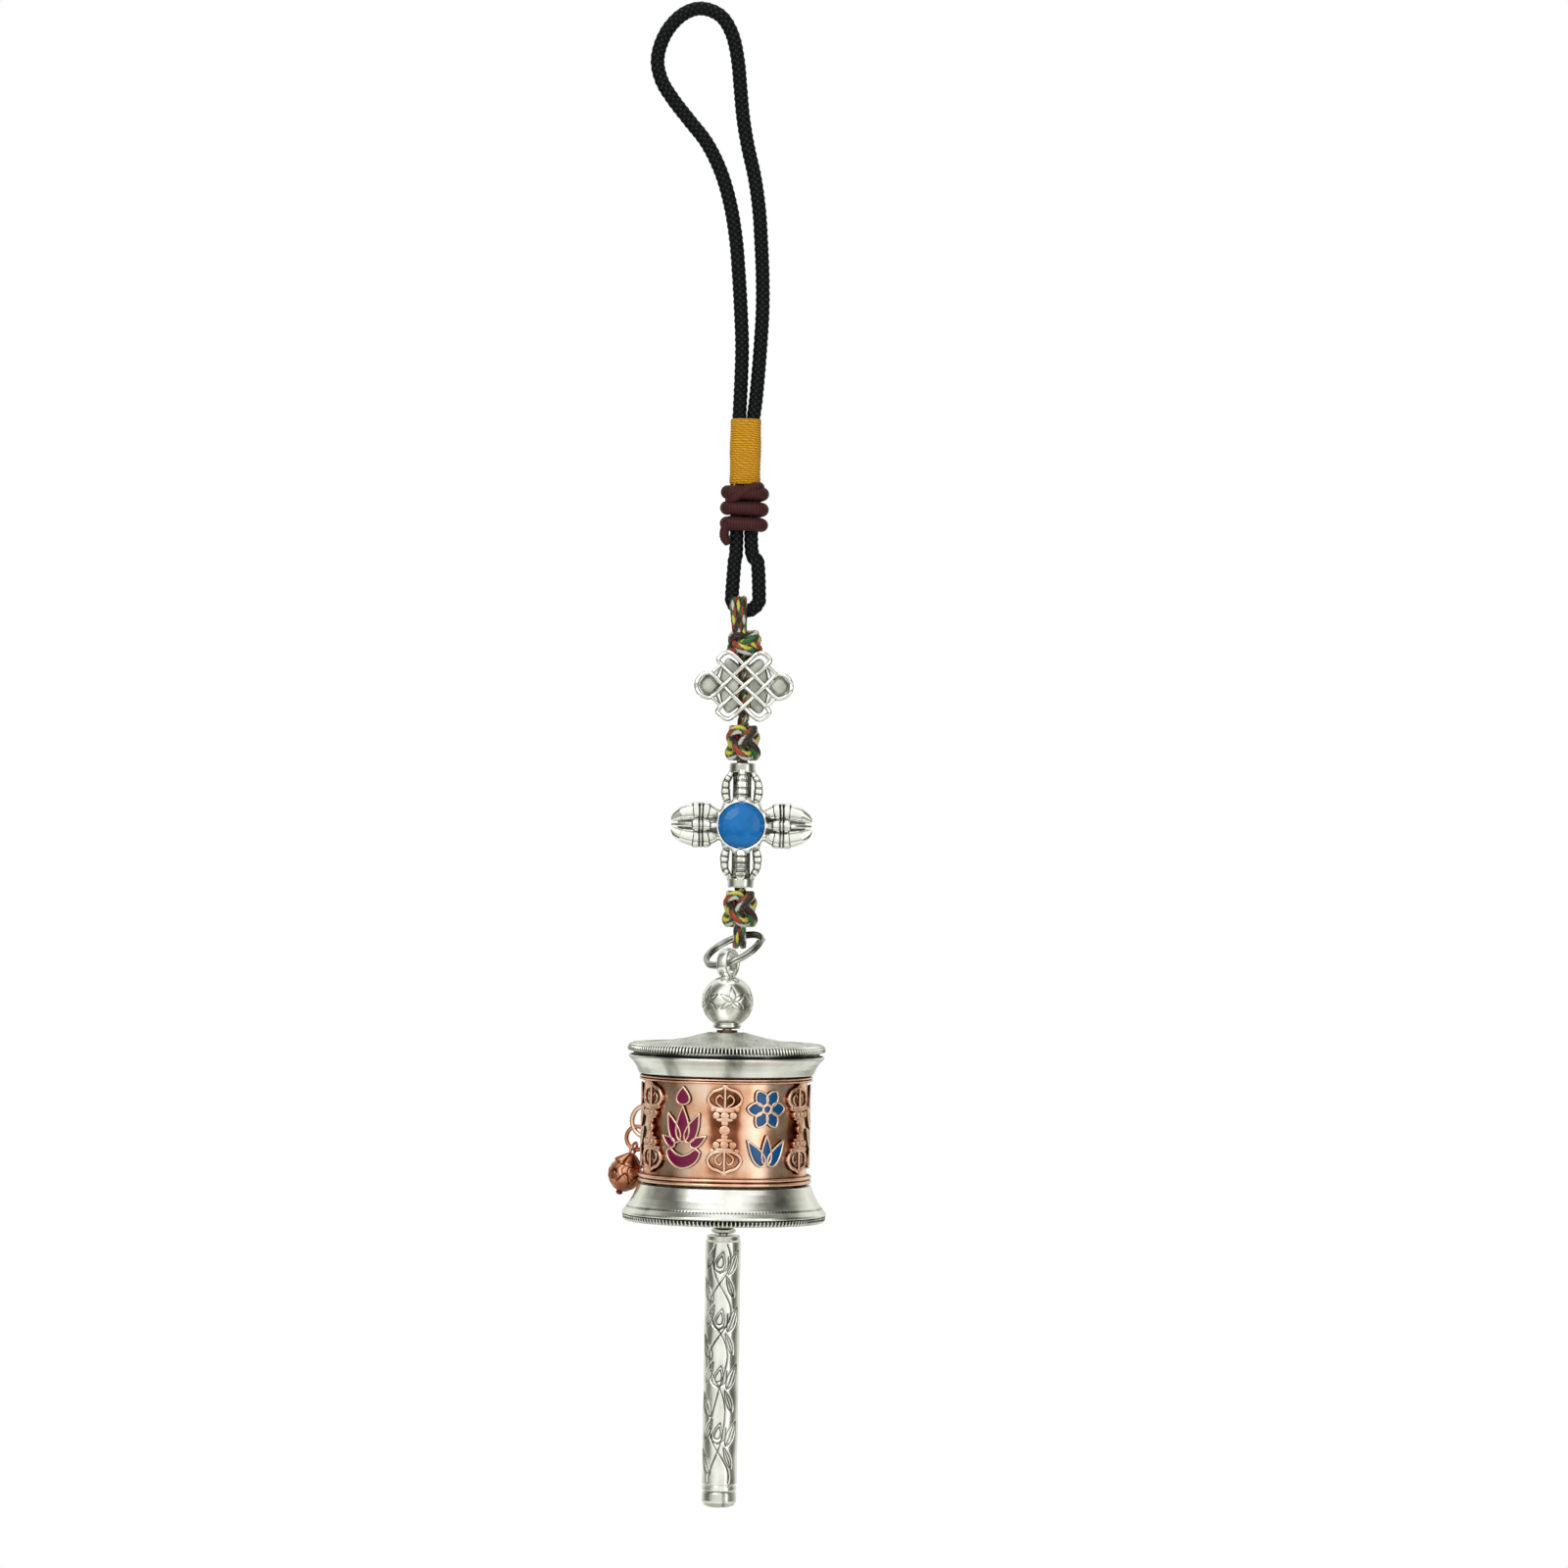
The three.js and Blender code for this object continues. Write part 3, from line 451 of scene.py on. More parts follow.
def festive_string():
    """Braided string of coloured rayon and metallic yarns: each carrier has its own colour and a silky gloss,
    with bright flecks where the metallic yarn comes to the top, and painted shade that darkens it towards
    near black in the braid's hollows."""
    material, tree = new_finish("coloured rayon string")
    place = node(tree, "ShaderNodeTexCoord").outputs["Object"]
    carrier = node(tree, "ShaderNodeAttribute", attribute_name="strand").outputs["Fac"]
    tone = node(tree, "ShaderNodeValToRGB", {"Fac": carrier}, [
        (0.0, "#d6cf3c"), (1 / 6, "#cfd0c6"), (2 / 6, "#33090e"), (3 / 6, "#1f6b2c"),
        (4 / 6, "#b2360f"), (5 / 6, "#0b1410")], stepped=True)
    wear = node(tree, "ShaderNodeAttribute", attribute_name="wear").outputs["Fac"]
    # painted shade: the carrier colour is mixed towards near black in the braid's hollows
    shade = node(tree, "ShaderNodeMapRange", {
        "Value": wear, "From Min": 0.15, "From Max": 0.8, "To Min": 0.12, "To Max": 1.0})
    painted_shade_mix = node(tree, "ShaderNodeMix", {"Factor": shade, "A": colour("#140a08"), "B": tone}, data_type="RGBA")
    fleck = node(tree, "ShaderNodeTexNoise", {"Vector": place, "Scale": 1 / (0.35 * MM), "Detail": 2.0})
    fibre = node(tree, "ShaderNodeTexNoise", {"Vector": place, "Scale": 1 / (0.12 * MM), "Detail": 3.0})
    finish_with(tree, {
        "Base Color": painted_shade_mix.outputs["Result"], "Sheen Weight": 0.15,
        "Roughness": node(tree, "ShaderNodeMapRange", {
            "Value": fleck, "From Min": 0.4, "From Max": 0.65, "To Min": 0.5, "To Max": 0.25}),
        "Metallic": node(tree, "ShaderNodeMapRange", {
            "Value": fleck, "From Min": 0.58, "From Max": 0.66, "To Min": 0.0, "To Max": 0.5}),
        "Normal": node(tree, "ShaderNodeBump", {"Height": fibre, "Distance": 0.02 * MM, "Strength": 0.6})})
    return material


def vitreous_enamel(name, deep, clear, coat=0.2):
    """Cold enamel poured between metal edges: a thick glossy coat, a touch darker where it thins at the
    edge, with a slow unevenness and a few pinholes."""
    material, tree = new_finish(name)
    place = node(tree, "ShaderNodeTexCoord").outputs["Object"]
    cloud = node(tree, "ShaderNodeTexNoise", {"Vector": place, "Scale": 1 / (2.2 * MM), "Detail": 3.0})
    pit = node(tree, "ShaderNodeTexVoronoi", {"Vector": place, "Scale": 1 / (0.7 * MM)}, feature="F1")
    wear = node(tree, "ShaderNodeAttribute", attribute_name="wear").outputs["Fac"]
    depth = node(tree, "ShaderNodeMapRange", {"Value": wear, "To Min": 0.0, "To Max": 0.7})
    uneven = node(tree, "ShaderNodeMapRange", {
        "Value": cloud, "From Min": 0.3, "From Max": 0.7, "To Min": -0.1, "To Max": 0.2})
    level = node(tree, "ShaderNodeMath", {0: depth, 1: uneven}, operation="ADD")
    finish_with(tree, {
        "Base Color": node(tree, "ShaderNodeValToRGB", {"Fac": level}, [(0.1, deep), (0.8, clear)]),
        "Roughness": node(tree, "ShaderNodeMapRange", {
            "Value": pit.outputs["Distance"], "From Max": 0.12, "To Min": 0.4, "To Max": 0.2}),
        "Coat Weight": coat, "Coat Roughness": 0.05, "Specular IOR Level": 0.3,
        "Normal": node(tree, "ShaderNodeBump", {"Height": cloud, "Distance": 0.08 * MM, "Strength": 0.35})})
    return material


def plain_solid(name, deep, light, roughness, grain_mm, stretch):
    """Hidden solid: two tones in a noise of the material's own grain, drawn out along the stretch."""
    material, tree = new_finish(name)
    place = node(tree, "ShaderNodeTexCoord").outputs["Object"]
    grain = node(tree, "ShaderNodeTexNoise", {
        "Vector": node(tree, "ShaderNodeMapping", {"Vector": place, "Scale": stretch}),
        "Scale": 1 / (grain_mm * MM), "Detail": 4.0})
    finish_with(tree, {
        "Base Color": node(tree, "ShaderNodeValToRGB", {"Fac": grain}, [(0.3, deep), (0.7, light)]),
        "Roughness": node(tree, "ShaderNodeMapRange", {
            "Value": grain, "To Min": roughness, "To Max": roughness + 0.15}),
        "Normal": node(tree, "ShaderNodeBump", {"Height": grain, "Distance": 0.02 * MM, "Strength": 0.4})})
    return material


SILVER_STOPS = [(0.08, "#2e302b"), (0.35, "#8f9189"), (0.6, "#dcddd5"), (0.9, "#f8f8f3")]
COPPER_STOPS = [(0.08, "#27120b"), (0.35, "#96593f"), (0.6, "#eab08e"), (0.9, "#ffe0ca")]

silver = plated_metal("silver plate, polished", SILVER_STOPS, 0.14, 0.5, 0.02)
frosted_silver = plated_metal("silver plate, matted", SILVER_STOPS, 0.3, 0.3, 0.05)
steel = plated_metal("nickelled spring steel", [(0.1, "#2c2d28"), (0.6, "#85877f"), (0.9, "#c9cac3")],
                     0.12, 0.4, 0.01)
bare_steel = plated_metal("drawn steel rod", [(0.3, "#8d8e88"), (0.8, "#c9cac4")], 0.25, 0.3, 0.01,
                          worn=False)
copper = plated_metal("rose copper plate, polished", COPPER_STOPS, 0.2, 0.6, 0.02)
dark_copper = plated_metal("rose copper plate, darkened",
                           [(0.1, "#1f0d08"), (0.4, "#6e3522"), (0.7, "#b87353"), (0.95, "#e9b294")],
                           0.2, 0.5, 0.03)
# painted shade: the washers and bushes are coloured dark to stand in for the shadow in the gaps they sit in
brass = plated_metal("turned brass, painted dark for shade", [(0.3, "#3c3221"), (0.8, "#7d6c47")], 0.3, 0.4, 0.01,
                     worn=False)
# the crown colours of these cords are painted highlight colours
black_nylon = spun_yarn("black nylon braid", "#000001", "#33363a", roughness=0.5, sheen=0.0, glint=6.0,
                        gloss=0.12)
gold_thread = spun_yarn("golden polyester thread", "#7a4804", "#f5b31c", fibre_mm=0.08, sheen=0.05)
maroon_cord = spun_yarn("maroon satin cord", "#0e0202", "#561818", fibre_mm=0.16, sheen=0.05, slant=0.0)
string_finish = festive_string()
enamels = [
    vitreous_enamel("magenta enamel", "#4c0226", "#85084a"),
    vitreous_enamel("blue enamel", "#013158", "#005c9a"),
    vitreous_enamel("green enamel", "#032415", "#08502f"),
]
blue_glass = vitreous_enamel("opaque blue glass", "#01508f", "#0079c8", coat=0.1)
beech = plain_solid("turned beech", "#7d5734", "#a47a4f", 0.6, 1.0, (1, 1, 0.1))
scroll_paper = plain_solid("rolled mulberry paper", "#d8ccab", "#efe6cd", 0.85, 0.6, (1, 1, 0.3))


# ---------------------------------------------------------------- hanging cord and bindings
def make_hanging_cord():
    """Round braid along the loop's route, which leaves the whipping and goes back into it."""
    route = smooth(LOOP_ROUTE, 1500)
    cord = make_piece("hanging_cord_braid", [braided(route, Y_AXIS, CORD_D, 1.1, 6, 42, depth=0.2)],
                      "strap", [black_nylon], ["hanging_cord"])


def make_cord_eye():
    """The same braid from the whipping down through the wrap: one side, round a half circle and up the
    other."""
    low, high = node_low("cord_eye"), node_high("cord_eye")
    radius = 2.35
    middle = np.array([STRING[0], 0, low[2] + CORD_D / 2 + radius])
    swing = np.linspace(math.pi, TAU, 9)
    bight = np.column_stack([middle[0] + radius * np.cos(swing), 0 * swing,
                             middle[2] + radius * np.sin(swing)])
    top = high[2] + 0.6
    neck = node_high("cord_neck")[2]
    route = np.vstack([[[BINDING_X - 1.28, 0, neck], [BINDING_X - 1.28, 0, top],
                        [STRING[0] - 2.0, 0, top - 3.5]],
                       bight, [[STRING[0] + 2.0, 0, top - 3.5], [BINDING_X + 1.28, 0, top],
                               [BINDING_X + 1.28, 0, neck]]])
    make_piece("cord_eye_braid", [braided(smooth(route, 520), Y_AXIS, CORD_D, 1.1, 6, 42, depth=0.2)],
               "strap", [black_nylon], ["cord_eye", "cord_neck"])


def slot_section(heights, angles, reach, radius):
    """Upright sleeve of rounded-slot section: two half circles of the radius with a straight reach
    between."""
    across = reach * np.tanh(3 * np.cos(angles)) / math.tanh(3)
    x = BINDING_X + across + radius * np.cos(angles)
    y = radius * np.sin(angles)
    return np.stack([x, y, heights + 0 * x], axis=-1)


def make_whipping():
    """Plied thread wound side by side: the radius rises and falls once per turn and once per ply, and the
    turns climb as a helix."""
    low, high = node_low("thread_whipping")[2], node_high("thread_whipping")[2]
    thread = 0.4
    heights, angles = np.meshgrid(np.linspace(low, high, 250), TAU * np.arange(136) / 136, indexing="ij")
    wander = 0.05 * np.sin(2 * angles + heights * 1.7) + 0.04 * np.sin(3 * angles - heights * 2.9)
    phase = (heights + wander + 0.22 * np.sin(angles)) / thread + angles / TAU
    ply = 0.5 + 0.5 * np.cos(17 * angles + np.pi * phase)
    crown = np.abs(np.sin(np.pi * phase))**0.6 * (0.7 + 0.3 * ply)
    end = np.clip(np.minimum(heights - low, high - heights) / 0.35, 0, 1)
    radius = 1.42 + 0.19 * crown + 0.05 * np.sin(heights * 0.9) - 0.22 * (1 - end)**2
    sleeve = slot_section(heights, angles, 1.12, radius)
    turn_run = np.stack([angles * 1.9, heights], axis=-1)
    tail = smooth([(BINDING_X - 1.6, -1.6, low + 0.5), (BINDING_X - 1.9, -1.9, low - 0.4),
                   (BINDING_X - 2.3, -2.3, low - 0.9)], 20)
    make_piece("thread_whipping_turns",
               [body(sleeve, wear=crown, run=turn_run), body(swept(tail, 0.14, Y_AXIS, 8))],
               "strap", [gold_thread], ["thread_whipping"])


def make_cord_wrap():
    """Satin cord wound three times round both strands: level in front, stepping down a turn at the back,
    with a crossing tuck over the top turn and a loose tail."""
    low, high = node_low("cord_wrap"), node_high("cord_wrap")
    cord_r = 1.22
    wide = (high[0] - low[0]) / 2 - cord_r
    deep = high[1] - cord_r
    turns = np.linspace(-0.3, 2.3, 70)
    swing = -np.pi / 2 + TAU * turns
    corner = (np.abs(np.cos(swing))**2.6 + np.abs(np.sin(swing))**2.6)**(-1 / 2.6)
    share = np.clip((turns % 1 - 0.3) / 0.4, 0, 1)
    drop = high[2] - 1.2 - 2.7 * (np.floor(turns) + share**2 * (3 - 2 * share)) - 0.12 * np.cos(swing)
    coil = np.column_stack([BINDING_X + wide * corner * np.cos(swing), deep * corner * np.sin(swing), drop])
    third = high[2] - 6.6
    tail = [[BINDING_X - wide * 0.5, -deep * 1.05, third], [BINDING_X - wide * 1.0, -deep * 0.8, third - 0.5],
            [BINDING_X - wide * 1.12, -deep * 0.7, third - 2.0],
            [BINDING_X - wide * 0.9, -deep * 0.8, low[2] + 0.2]]
    tuck = [[BINDING_X + wide * 0.95, 0.4, high[2] - 0.2],
            [BINDING_X + wide * 0.7, -deep * 0.9, high[2] - 0.15],
            [BINDING_X + wide * 0.1, -deep * 1.25, high[2] - 0.75],
            [BINDING_X - wide * 0.55, -deep * 1.2, high[2] - 2.0],
            [BINDING_X - wide * 1.0, -deep * 0.5, high[2] - 2.5]]
    bodies = []
    for route, thick, count in ((coil, cord_r, 500), (tuck, cord_r * 0.72, 90), (tail, cord_r * 0.7, 80)):
        path = smooth(route, count)
        along = path_length(path)
        rib = 0.5 + 0.5 * np.cos(TAU * along / 0.42)
        taper = np.clip(np.minimum(along, along[-1] - along) / 1.2, 0, 1)**0.5 * 0.45 + 0.55
        points = swept(path, (thick - 0.05 * (1 - rib)) * taper, Y_AXIS * 0.2 + Z_AXIS, 26)
        bodies.append(body(points, wear=np.repeat(rib[:, None] * 0.5 + 0.3, 26, axis=1)))
    make_piece("cord_wrap_turns", bodies, "strap", [maroon_cord], ["cord_wrap"])


# ---------------------------------------------------------------- knotted string
def knot_bodies(node):
    """Woven knot: a closed cord of three leads and four bights round a core. At t the cord is at the angle
    3t, the height H·sin 4t and the radius R + A·sin 8t, which takes it over and under itself in turn."""
    low, high = node_low(node)[2], node_high(node)[2]
    cord = 1.85
    t = TAU * np.arange(520) / 520
    r = 1.85 + 0.42 * np.sin(8 * t)
    rise = ((high - low) / 2 - cord / 2 + 0.1) * np.sin(4 * t)
    out = np.column_stack([np.cos(3 * t), np.sin(3 * t), 0 * t])
    path = np.column_stack([STRING[0] + r * out[:, 0], STRING[1] + r * out[:, 1], (low + high) / 2 + rise])
    core = turned([(0.3, low + 0.3), (1.3, low + 0.4), (1.75, (low + high) / 2), (1.3, high - 0.4),
                   (0.3, high - 0.3)], 24, STRING)
    core["strand"] = np.full(core["strand"].shape, 2.5 / 6)
    # painted shade: the low value darkens the core to near black inside the knot
    core["wear"] = np.full(core["wear"].shape, 0.2)
    return [braided(path, out, cord, 3.4, 4, 30, depth=0.24, closed=True), core]


def make_string():
    """Five-coloured string: woven knots, flat bights through the cord's eye and the ring, and twisted
    runs."""
    for node_name in ("string_upper_knot", "string_middle_knot", "string_lower_knot"):
        make_piece(node_name + "_woven", knot_bodies(node_name), "charm_string",
                   [string_finish], [node_name])
    for node_name, side, offsets in (("string_upper_bight", 1, (-2.1, -1.2, -0.3)),
                                     ("string_lower_bight", -1, (-0.6, 0.6))):
        low, high = node_low(node_name), node_high(node_name)
        reach = high[1] - 0.7
        far = high[2] if side > 0 else low[2]
        centre = far - side * (0.7 + reach)
        end = (low[2] if side > 0 else high[2]) - side * 0.9
        swing = np.linspace(math.pi, 0, 9)
        bodies = []
        for offset in offsets:
            arch = np.column_stack([0 * swing, reach * np.cos(swing), centre + side * reach * np.sin(swing)])
            route = np.vstack([[[0, -reach * 0.8, end]], arch, [[0, reach * 0.8, end]]])
            route = route + [STRING[0] + offset, 0, 0]
            route[:, 0] += -0.25 * offset * (side * (far - route[:, 2]) / abs(far - end))**2
            bodies.append(braided(smooth(route, 150), (1.0, 0, 0), 1.25, 2.4, 4, 24, depth=0.14,
                                  turn=offset * 2.0))
        make_piece(node_name + "_braids", bodies, "charm_string", [string_finish],
                   [node_name])
    for node_name in ("string_upper_run", "string_lower_run"):
        low, high = node_low(node_name)[2] - 0.8, node_high(node_name)[2] + 0.8
        z = np.linspace(high, low, 200)
        bodies = []
        for k in range(3):
            swing = TAU * (k / 3 + (z - low) / 6.0)
            path = np.column_stack([STRING[0] + 0.55 * np.cos(swing), STRING[1] + 0.55 * np.sin(swing), z])
            bodies.append(braided(path, Y_AXIS, 1.05, 2.2, 4, 18, depth=0.12, turn=k * 1.3))
        make_piece(node_name + "_twist", bodies, "charm_string", [string_finish],
                   [node_name])


# ---------------------------------------------------------------- endless-knot charm
def painted_shade_pane(middle, centre, corners, depth):
    """Thin level plate standing in the charm at a depth from its middle: the smoothed outline is drawn in and
    rounded over at both faces. Its mid-grey tone is painted shade: the plate fills an opening of the charm."""
    edge = smooth(corners, 60, closed=True)
    rings = [(0.4, 0), (0.93, 0), (1.0, 0.05), (1.0, 0.15), (0.93, 0.2), (0.4, 0.2)]
    points = np.stack([np.column_stack([
        middle[0] + centre[0] + edge[:, 0] * share, np.full(60, middle[1] + depth + back),
        middle[2] + centre[1] + edge[:, 1] * share]) for share, back in rings])
    return body(points, wear=0.48)


def make_knot_charm():
    """Endless knot: one closed wire through three and three diagonals, two loops above, two below and one at
    each side. Its depth is w·cos(2π z / pitch), with opposite signs on the two diagonals, so that it weaves.
    The same lattice lies behind the string, and walls round the side loops join the two."""
    middle = node_middle("endless_knot_charm")
    sheet = 1.55
    pitch = 3.6
    top_loop = [(1.6, 5.2), (2.8, 5.8), (4.05, 5.1), (4.2, 3.9)]
    side_loop = [(5.0, 1.5), (6.1, 2.1), (7.6, 1.5), (8.25, 0), (7.6, -1.5), (6.1, -2.1), (5.0, -1.5)]
    path = [(0, pitch), *top_loop, (0, 0)]
    path += [(-x, -z) for x, z in reversed(top_loop)]
    path += [(0, -pitch), (pitch, 0), *side_loop, (pitch, 0), (0, pitch)]
    path += [(-x, z) for x, z in top_loop] + [(0, 0)] + [(x, -z) for x, z in reversed(top_loop)]
    path += [(0, -pitch), (-pitch, 0)] + [(-x, z) for x, z in side_loop] + [(-pitch, 0)]
    flat = smooth(path, 900, closed=True)
    tangent = unit(np.roll(flat, -3, axis=0) - np.roll(flat, 3, axis=0))
    weave = 0.24 * np.cos(TAU * flat[:, 1] / pitch) * np.clip(2.4 * tangent[:, 0] * tangent[:, 1], -1, 1)
    bodies = []
    section = TAU * np.arange(12) / 12
    for side in (-1, 1):
        wire = np.column_stack([middle[0] + flat[:, 0], middle[1] + side * (sheet + weave),
                                middle[2] + flat[:, 1]])
        # painted shade: the wire is light on its front and back faces and dark on its sides, the walls of the
        # openings
        faces = np.clip(0.2 + 0.85 * np.abs(np.sin(section)), 0, 0.92)
        bodies.append(body(swept(wire, 0.37, Y_AXIS, 12, closed=True, square=2.8), along=True,
                           wear=np.broadcast_to(faces, (900, 12))))
        for sx, sz in ((1, 1), (1, -1), (-1, -1), (-1, 1)):
            corner = smooth([(4.0, 3.6), (4.75, 2.9), (5.5, 2.15)], 8) * (sx, sz)
            bar = np.column_stack([middle[0] + corner[:, 0], np.full(8, middle[1] + side * sheet),
                                   middle[2] + corner[:, 1]])
            bodies.append(body(swept(bar, 0.28, Y_AXIS, 10, square=2.8), wear=0.8))
    for side in (-1, 1):
        loop = smooth([(4.0, 3.4), *side_loop[:1], *side_loop[1:], (4.0, -3.4)], 80) * (side, 1)
        wall = np.column_stack([middle[0] + loop[:, 0], np.full(80, middle[1]), middle[2] + loop[:, 1]])
        # painted shade: the walls' mid-grey tone stands for shade inside the side loops
        bodies.append(body(swept(wall, sheet, Y_AXIS, 20, flat=0.12, square=6.0), wear=0.45))
        # painted shade: mid-grey plates fill the openings where the charm shows shade behind
        bodies.append(painted_shade_pane(middle, (6.1 * side, 0), [(-1.7, 0), (0, -1.9), (1.85, 0), (0, 1.9)], 0.75))
    bodies.append(painted_shade_pane(middle, (0, 0), [(-4.3, 0), (-3.0, -4.7), (0, -3.3), (3.0, -4.7), (4.3, 0),
                                             (3.0, 4.7), (0, 3.3), (-3.0, 4.7)], 1.3))
    make_piece("endless_knot_wirework", bodies, "knot_charm", [silver],
               ["endless_knot_charm"])


# ---------------------------------------------------------------- crossed-vajra charm
def step_between(value, low, high, blur=0.06):
    """1 between two limits and 0 outside them, with soft edges."""
    return 1 / (1 + np.exp(-(value - low) / blur * 2)) / (1 + np.exp((value - high) / blur * 2))


def arm_prong(centre, outward, radial, profile, widths, ridges, thickness):
    """Petal-shaped prong of an arm: its spine runs outwards and bows off the arm's axis by the profile, its
    half width comes from the widths, and bands across it stand proud as ridges."""
    spine = smooth(profile, 120)
    path = centre + spine[:, :1] * outward + spine[:, 1:] * radial
    width = np.interp(spine[:, 0], *np.transpose(widths))
    ridge = sum(step_between(spine[:, 0], low, high) for low, high in ridges)
    thick = np.interp(spine[:, 0], *np.transpose(thickness))
    points = swept(path, width * (1 + 0.13 * ridge), np.cross(outward, radial), 20, flat=thick / width,
                   square=3.4)
    groove = sum(step_between(spine[:, 0], low - 0.12, low + 0.04, 0.03) for low, _ in ridges)
    groove = groove + sum(step_between(spine[:, 0], high - 0.04, high + 0.12, 0.03) for _, high in ridges)
    return body(points, wear=np.repeat((0.85 - 0.7 * np.clip(groove, 0, 1))[:, None], 20, axis=1))


def about_y(made, centre, side):
    """A body turned about an upright axis at the origin, tipped so that its axis points to the front (side 1)
    or to the back (side -1), and moved to a centre."""
    x, y, z = np.moveaxis(made["points"], -1, 0)
    made["points"] = np.stack([x, -side * z, side * y], axis=-1) + centre
    return made


def make_vajra_charm():
    """Cast crossed vajra: four arms of four ridged prongs each, with a toothed bezel and a stone on each
    face."""
    centre = node_middle("crossed_vajra_charm")
    bodies = []
    directions = {"x": np.array([1.0, 0, 0]), "y": Y_AXIS, "z": Z_AXIS}
    for sign in (1, -1):
        for q in (directions["z"], -directions["z"], directions["y"], -directions["y"]):
            ridges = [(5.7, 6.6), (6.85, 7.15), (7.4, 8.3)]
            if abs(q[1]) > 0:
                bodies.append(arm_prong(
                    centre, sign * directions["x"], q,
                    [(3.4, 1.9), (5.2, 2.6), (6.3, 2.95), (8.3, 2.9), (10.2, 2.1), (11.5, 1.1), (12.0, 0.6)],
                    [(3.4, 0.5), (5.4, 0.6), (5.8, 0.75), (8.3, 0.75), (8.5, 0.42), (10.4, 0.36),
                     (12.0, 0.2)],
                    ridges, [(3.4, 0.6), (6, 0.8), (8.4, 0.7), (12.0, 0.25)]))
            else:
                bodies.append(arm_prong(
                    centre, sign * directions["x"], q,
                    [(3.4, 1.5), (5.0, 1.95), (6.3, 2.2), (8.3, 2.2), (10.2, 1.8), (11.5, 1.15), (12.1, 0.7)],
                    [(3.4, 0.8), (5.4, 1.2), (8.3, 1.5), (10.4, 1.3), (12.1, 0.35)],
                    ridges, [(3.4, 0.7), (5.2, 1.3), (6, 1.55), (8.3, 1.55), (10.2, 1.3), (11.5, 0.85),
                             (12.1, 0.3)]))
        core = swept(centre + np.linspace(3.5, 11, 20)[:, None] * sign * directions["x"],
                     np.linspace(1.9, 0.7, 20), Y_AXIS, 16)
        bodies.append(body(core, wear=0.2))
        for q in (directions["x"], -directions["x"], directions["y"], -directions["y"]):
            bodies.append(arm_prong(
                centre, sign * directions["z"], q,
                [(3.4, 2.0), (4.6, 2.65), (6.0, 2.85), (7.6, 2.7), (8.8, 2.0), (9.6, 1.8)],
                [(3.4, 0.5), (4.6, 0.8), (8.2, 0.8), (9.6, 0.6)],
                [(4.4, 5.3), (5.55, 6.3), (6.6, 7.5), (7.8, 8.4)], [(3.4, 0.5), (5.5, 0.75), (9.6, 0.45)]))
        collar = turned(crisp_rows([(1.75, 9.2), (2.15, 9.2), (2.25, 9.4), (2.2, 10.6), (2.1, 10.8),
                                    (1.5, 10.8), (1.5, 9.2), (1.75, 9.2)], 0.15)[:-1], 48, (0, 0),
                                    closed=True)
        foot = turned(crisp_rows([(1.75, 3.2), (2.6, 3.2), (2.7, 3.7), (2.4, 4.2), (1.5, 4.2), (1.5, 3.2),
                                  (1.75, 3.2)], 0.15)[:-1], 40, (0, 0), closed=True)
        tube = turned([(1.3, 4.2), (1.6, 4.2), (1.6, 9.2), (1.3, 9.2)], 40, (0, 0), closed=True)
        tube["wear"] = np.full(tube["wear"].shape, 0.3)
        for ring in (collar, foot, tube):
            if sign < 0:
                ring["points"] = ring["points"] * (1, -1, -1)
            ring["points"] = ring["points"] + centre
            bodies.append(ring)

    def teeth(angle, distance, radius, height):
        point = 1 - np.abs((angle * 14 / TAU) % 1 * 2 - 1)
        outer = step_between(radius, 4.45, 9.0, 0.08)
        shift = outer * (point * 0.75 - 0.3)
        return shift, np.clip(0.02 + 0.9 * point * outer + 0.85 * (1 - outer), 0, 1)

    for side in (1, -1):
        bezel = crisp_rows([(0.1, 0.2), (4.6, 0.2), (4.75, 1.2), (4.6, 2.3), (4.42, 3.0), (4.2, 3.15),
                            (3.98, 3.05), (3.96, 2.6), (0.1, 2.6)], 0.16)
        bodies.append(about_y(turned(bezel, 168, (0, 0), teeth), centre, side))
    make_piece("crossed_vajra_casting", bodies, "vajra_charm", [silver],
               ["crossed_vajra_charm"])

    for side, name in ((1, "stone_front"), (-1, "stone_back")):
        facets = 18
        rings = [(3.94, 2.65, 0), (3.94, 2.85, 0), (3.3, 3.45, 0.5), (2.0, 3.95, 0), (0.9, 4.1, 0.5)]
        angle = TAU * np.arange(facets) / facets
        points = np.stack([np.column_stack([r * np.sin(angle + s * TAU / facets),
                                            -r * np.cos(angle + s * TAU / facets),
                                            np.full(facets, z)]) for r, z, s in rings])
        points[:2] = np.stack([points[1] * (1, 1, 0) + (0, 0, z) for z in (2.65, 2.85)])
        stone = make_piece(name + "_cut", [about_y(body(points, wear=0.8), centre, side)], "vajra_charm",
                           [blue_glass], [name])
        stone.data.polygons.foreach_set("use_smooth", np.zeros(len(stone.data.polygons), bool))
        bevel = stone.modifiers.new("rounded edges", "BEVEL")
        bevel.width = 0.12 * MM
        bevel.segments = 2
        bevel.limit_method = "ANGLE"
        bevel.angle_limit = math.radians(4)


# ---------------------------------------------------------------- split ring and finial
def ring_frame():
    """Long, short and axis directions of the tilted ring."""
    long = np.array([math.cos(RING_SLOPE), 0, math.sin(RING_SLOPE)])
    short = np.array([-math.sin(RING_SLOPE) * RING_FORESHORTEN, math.sqrt(1 - RING_FORESHORTEN**2),
                      math.cos(RING_SLOPE) * RING_FORESHORTEN])
    return long, short, np.cross(long, short)


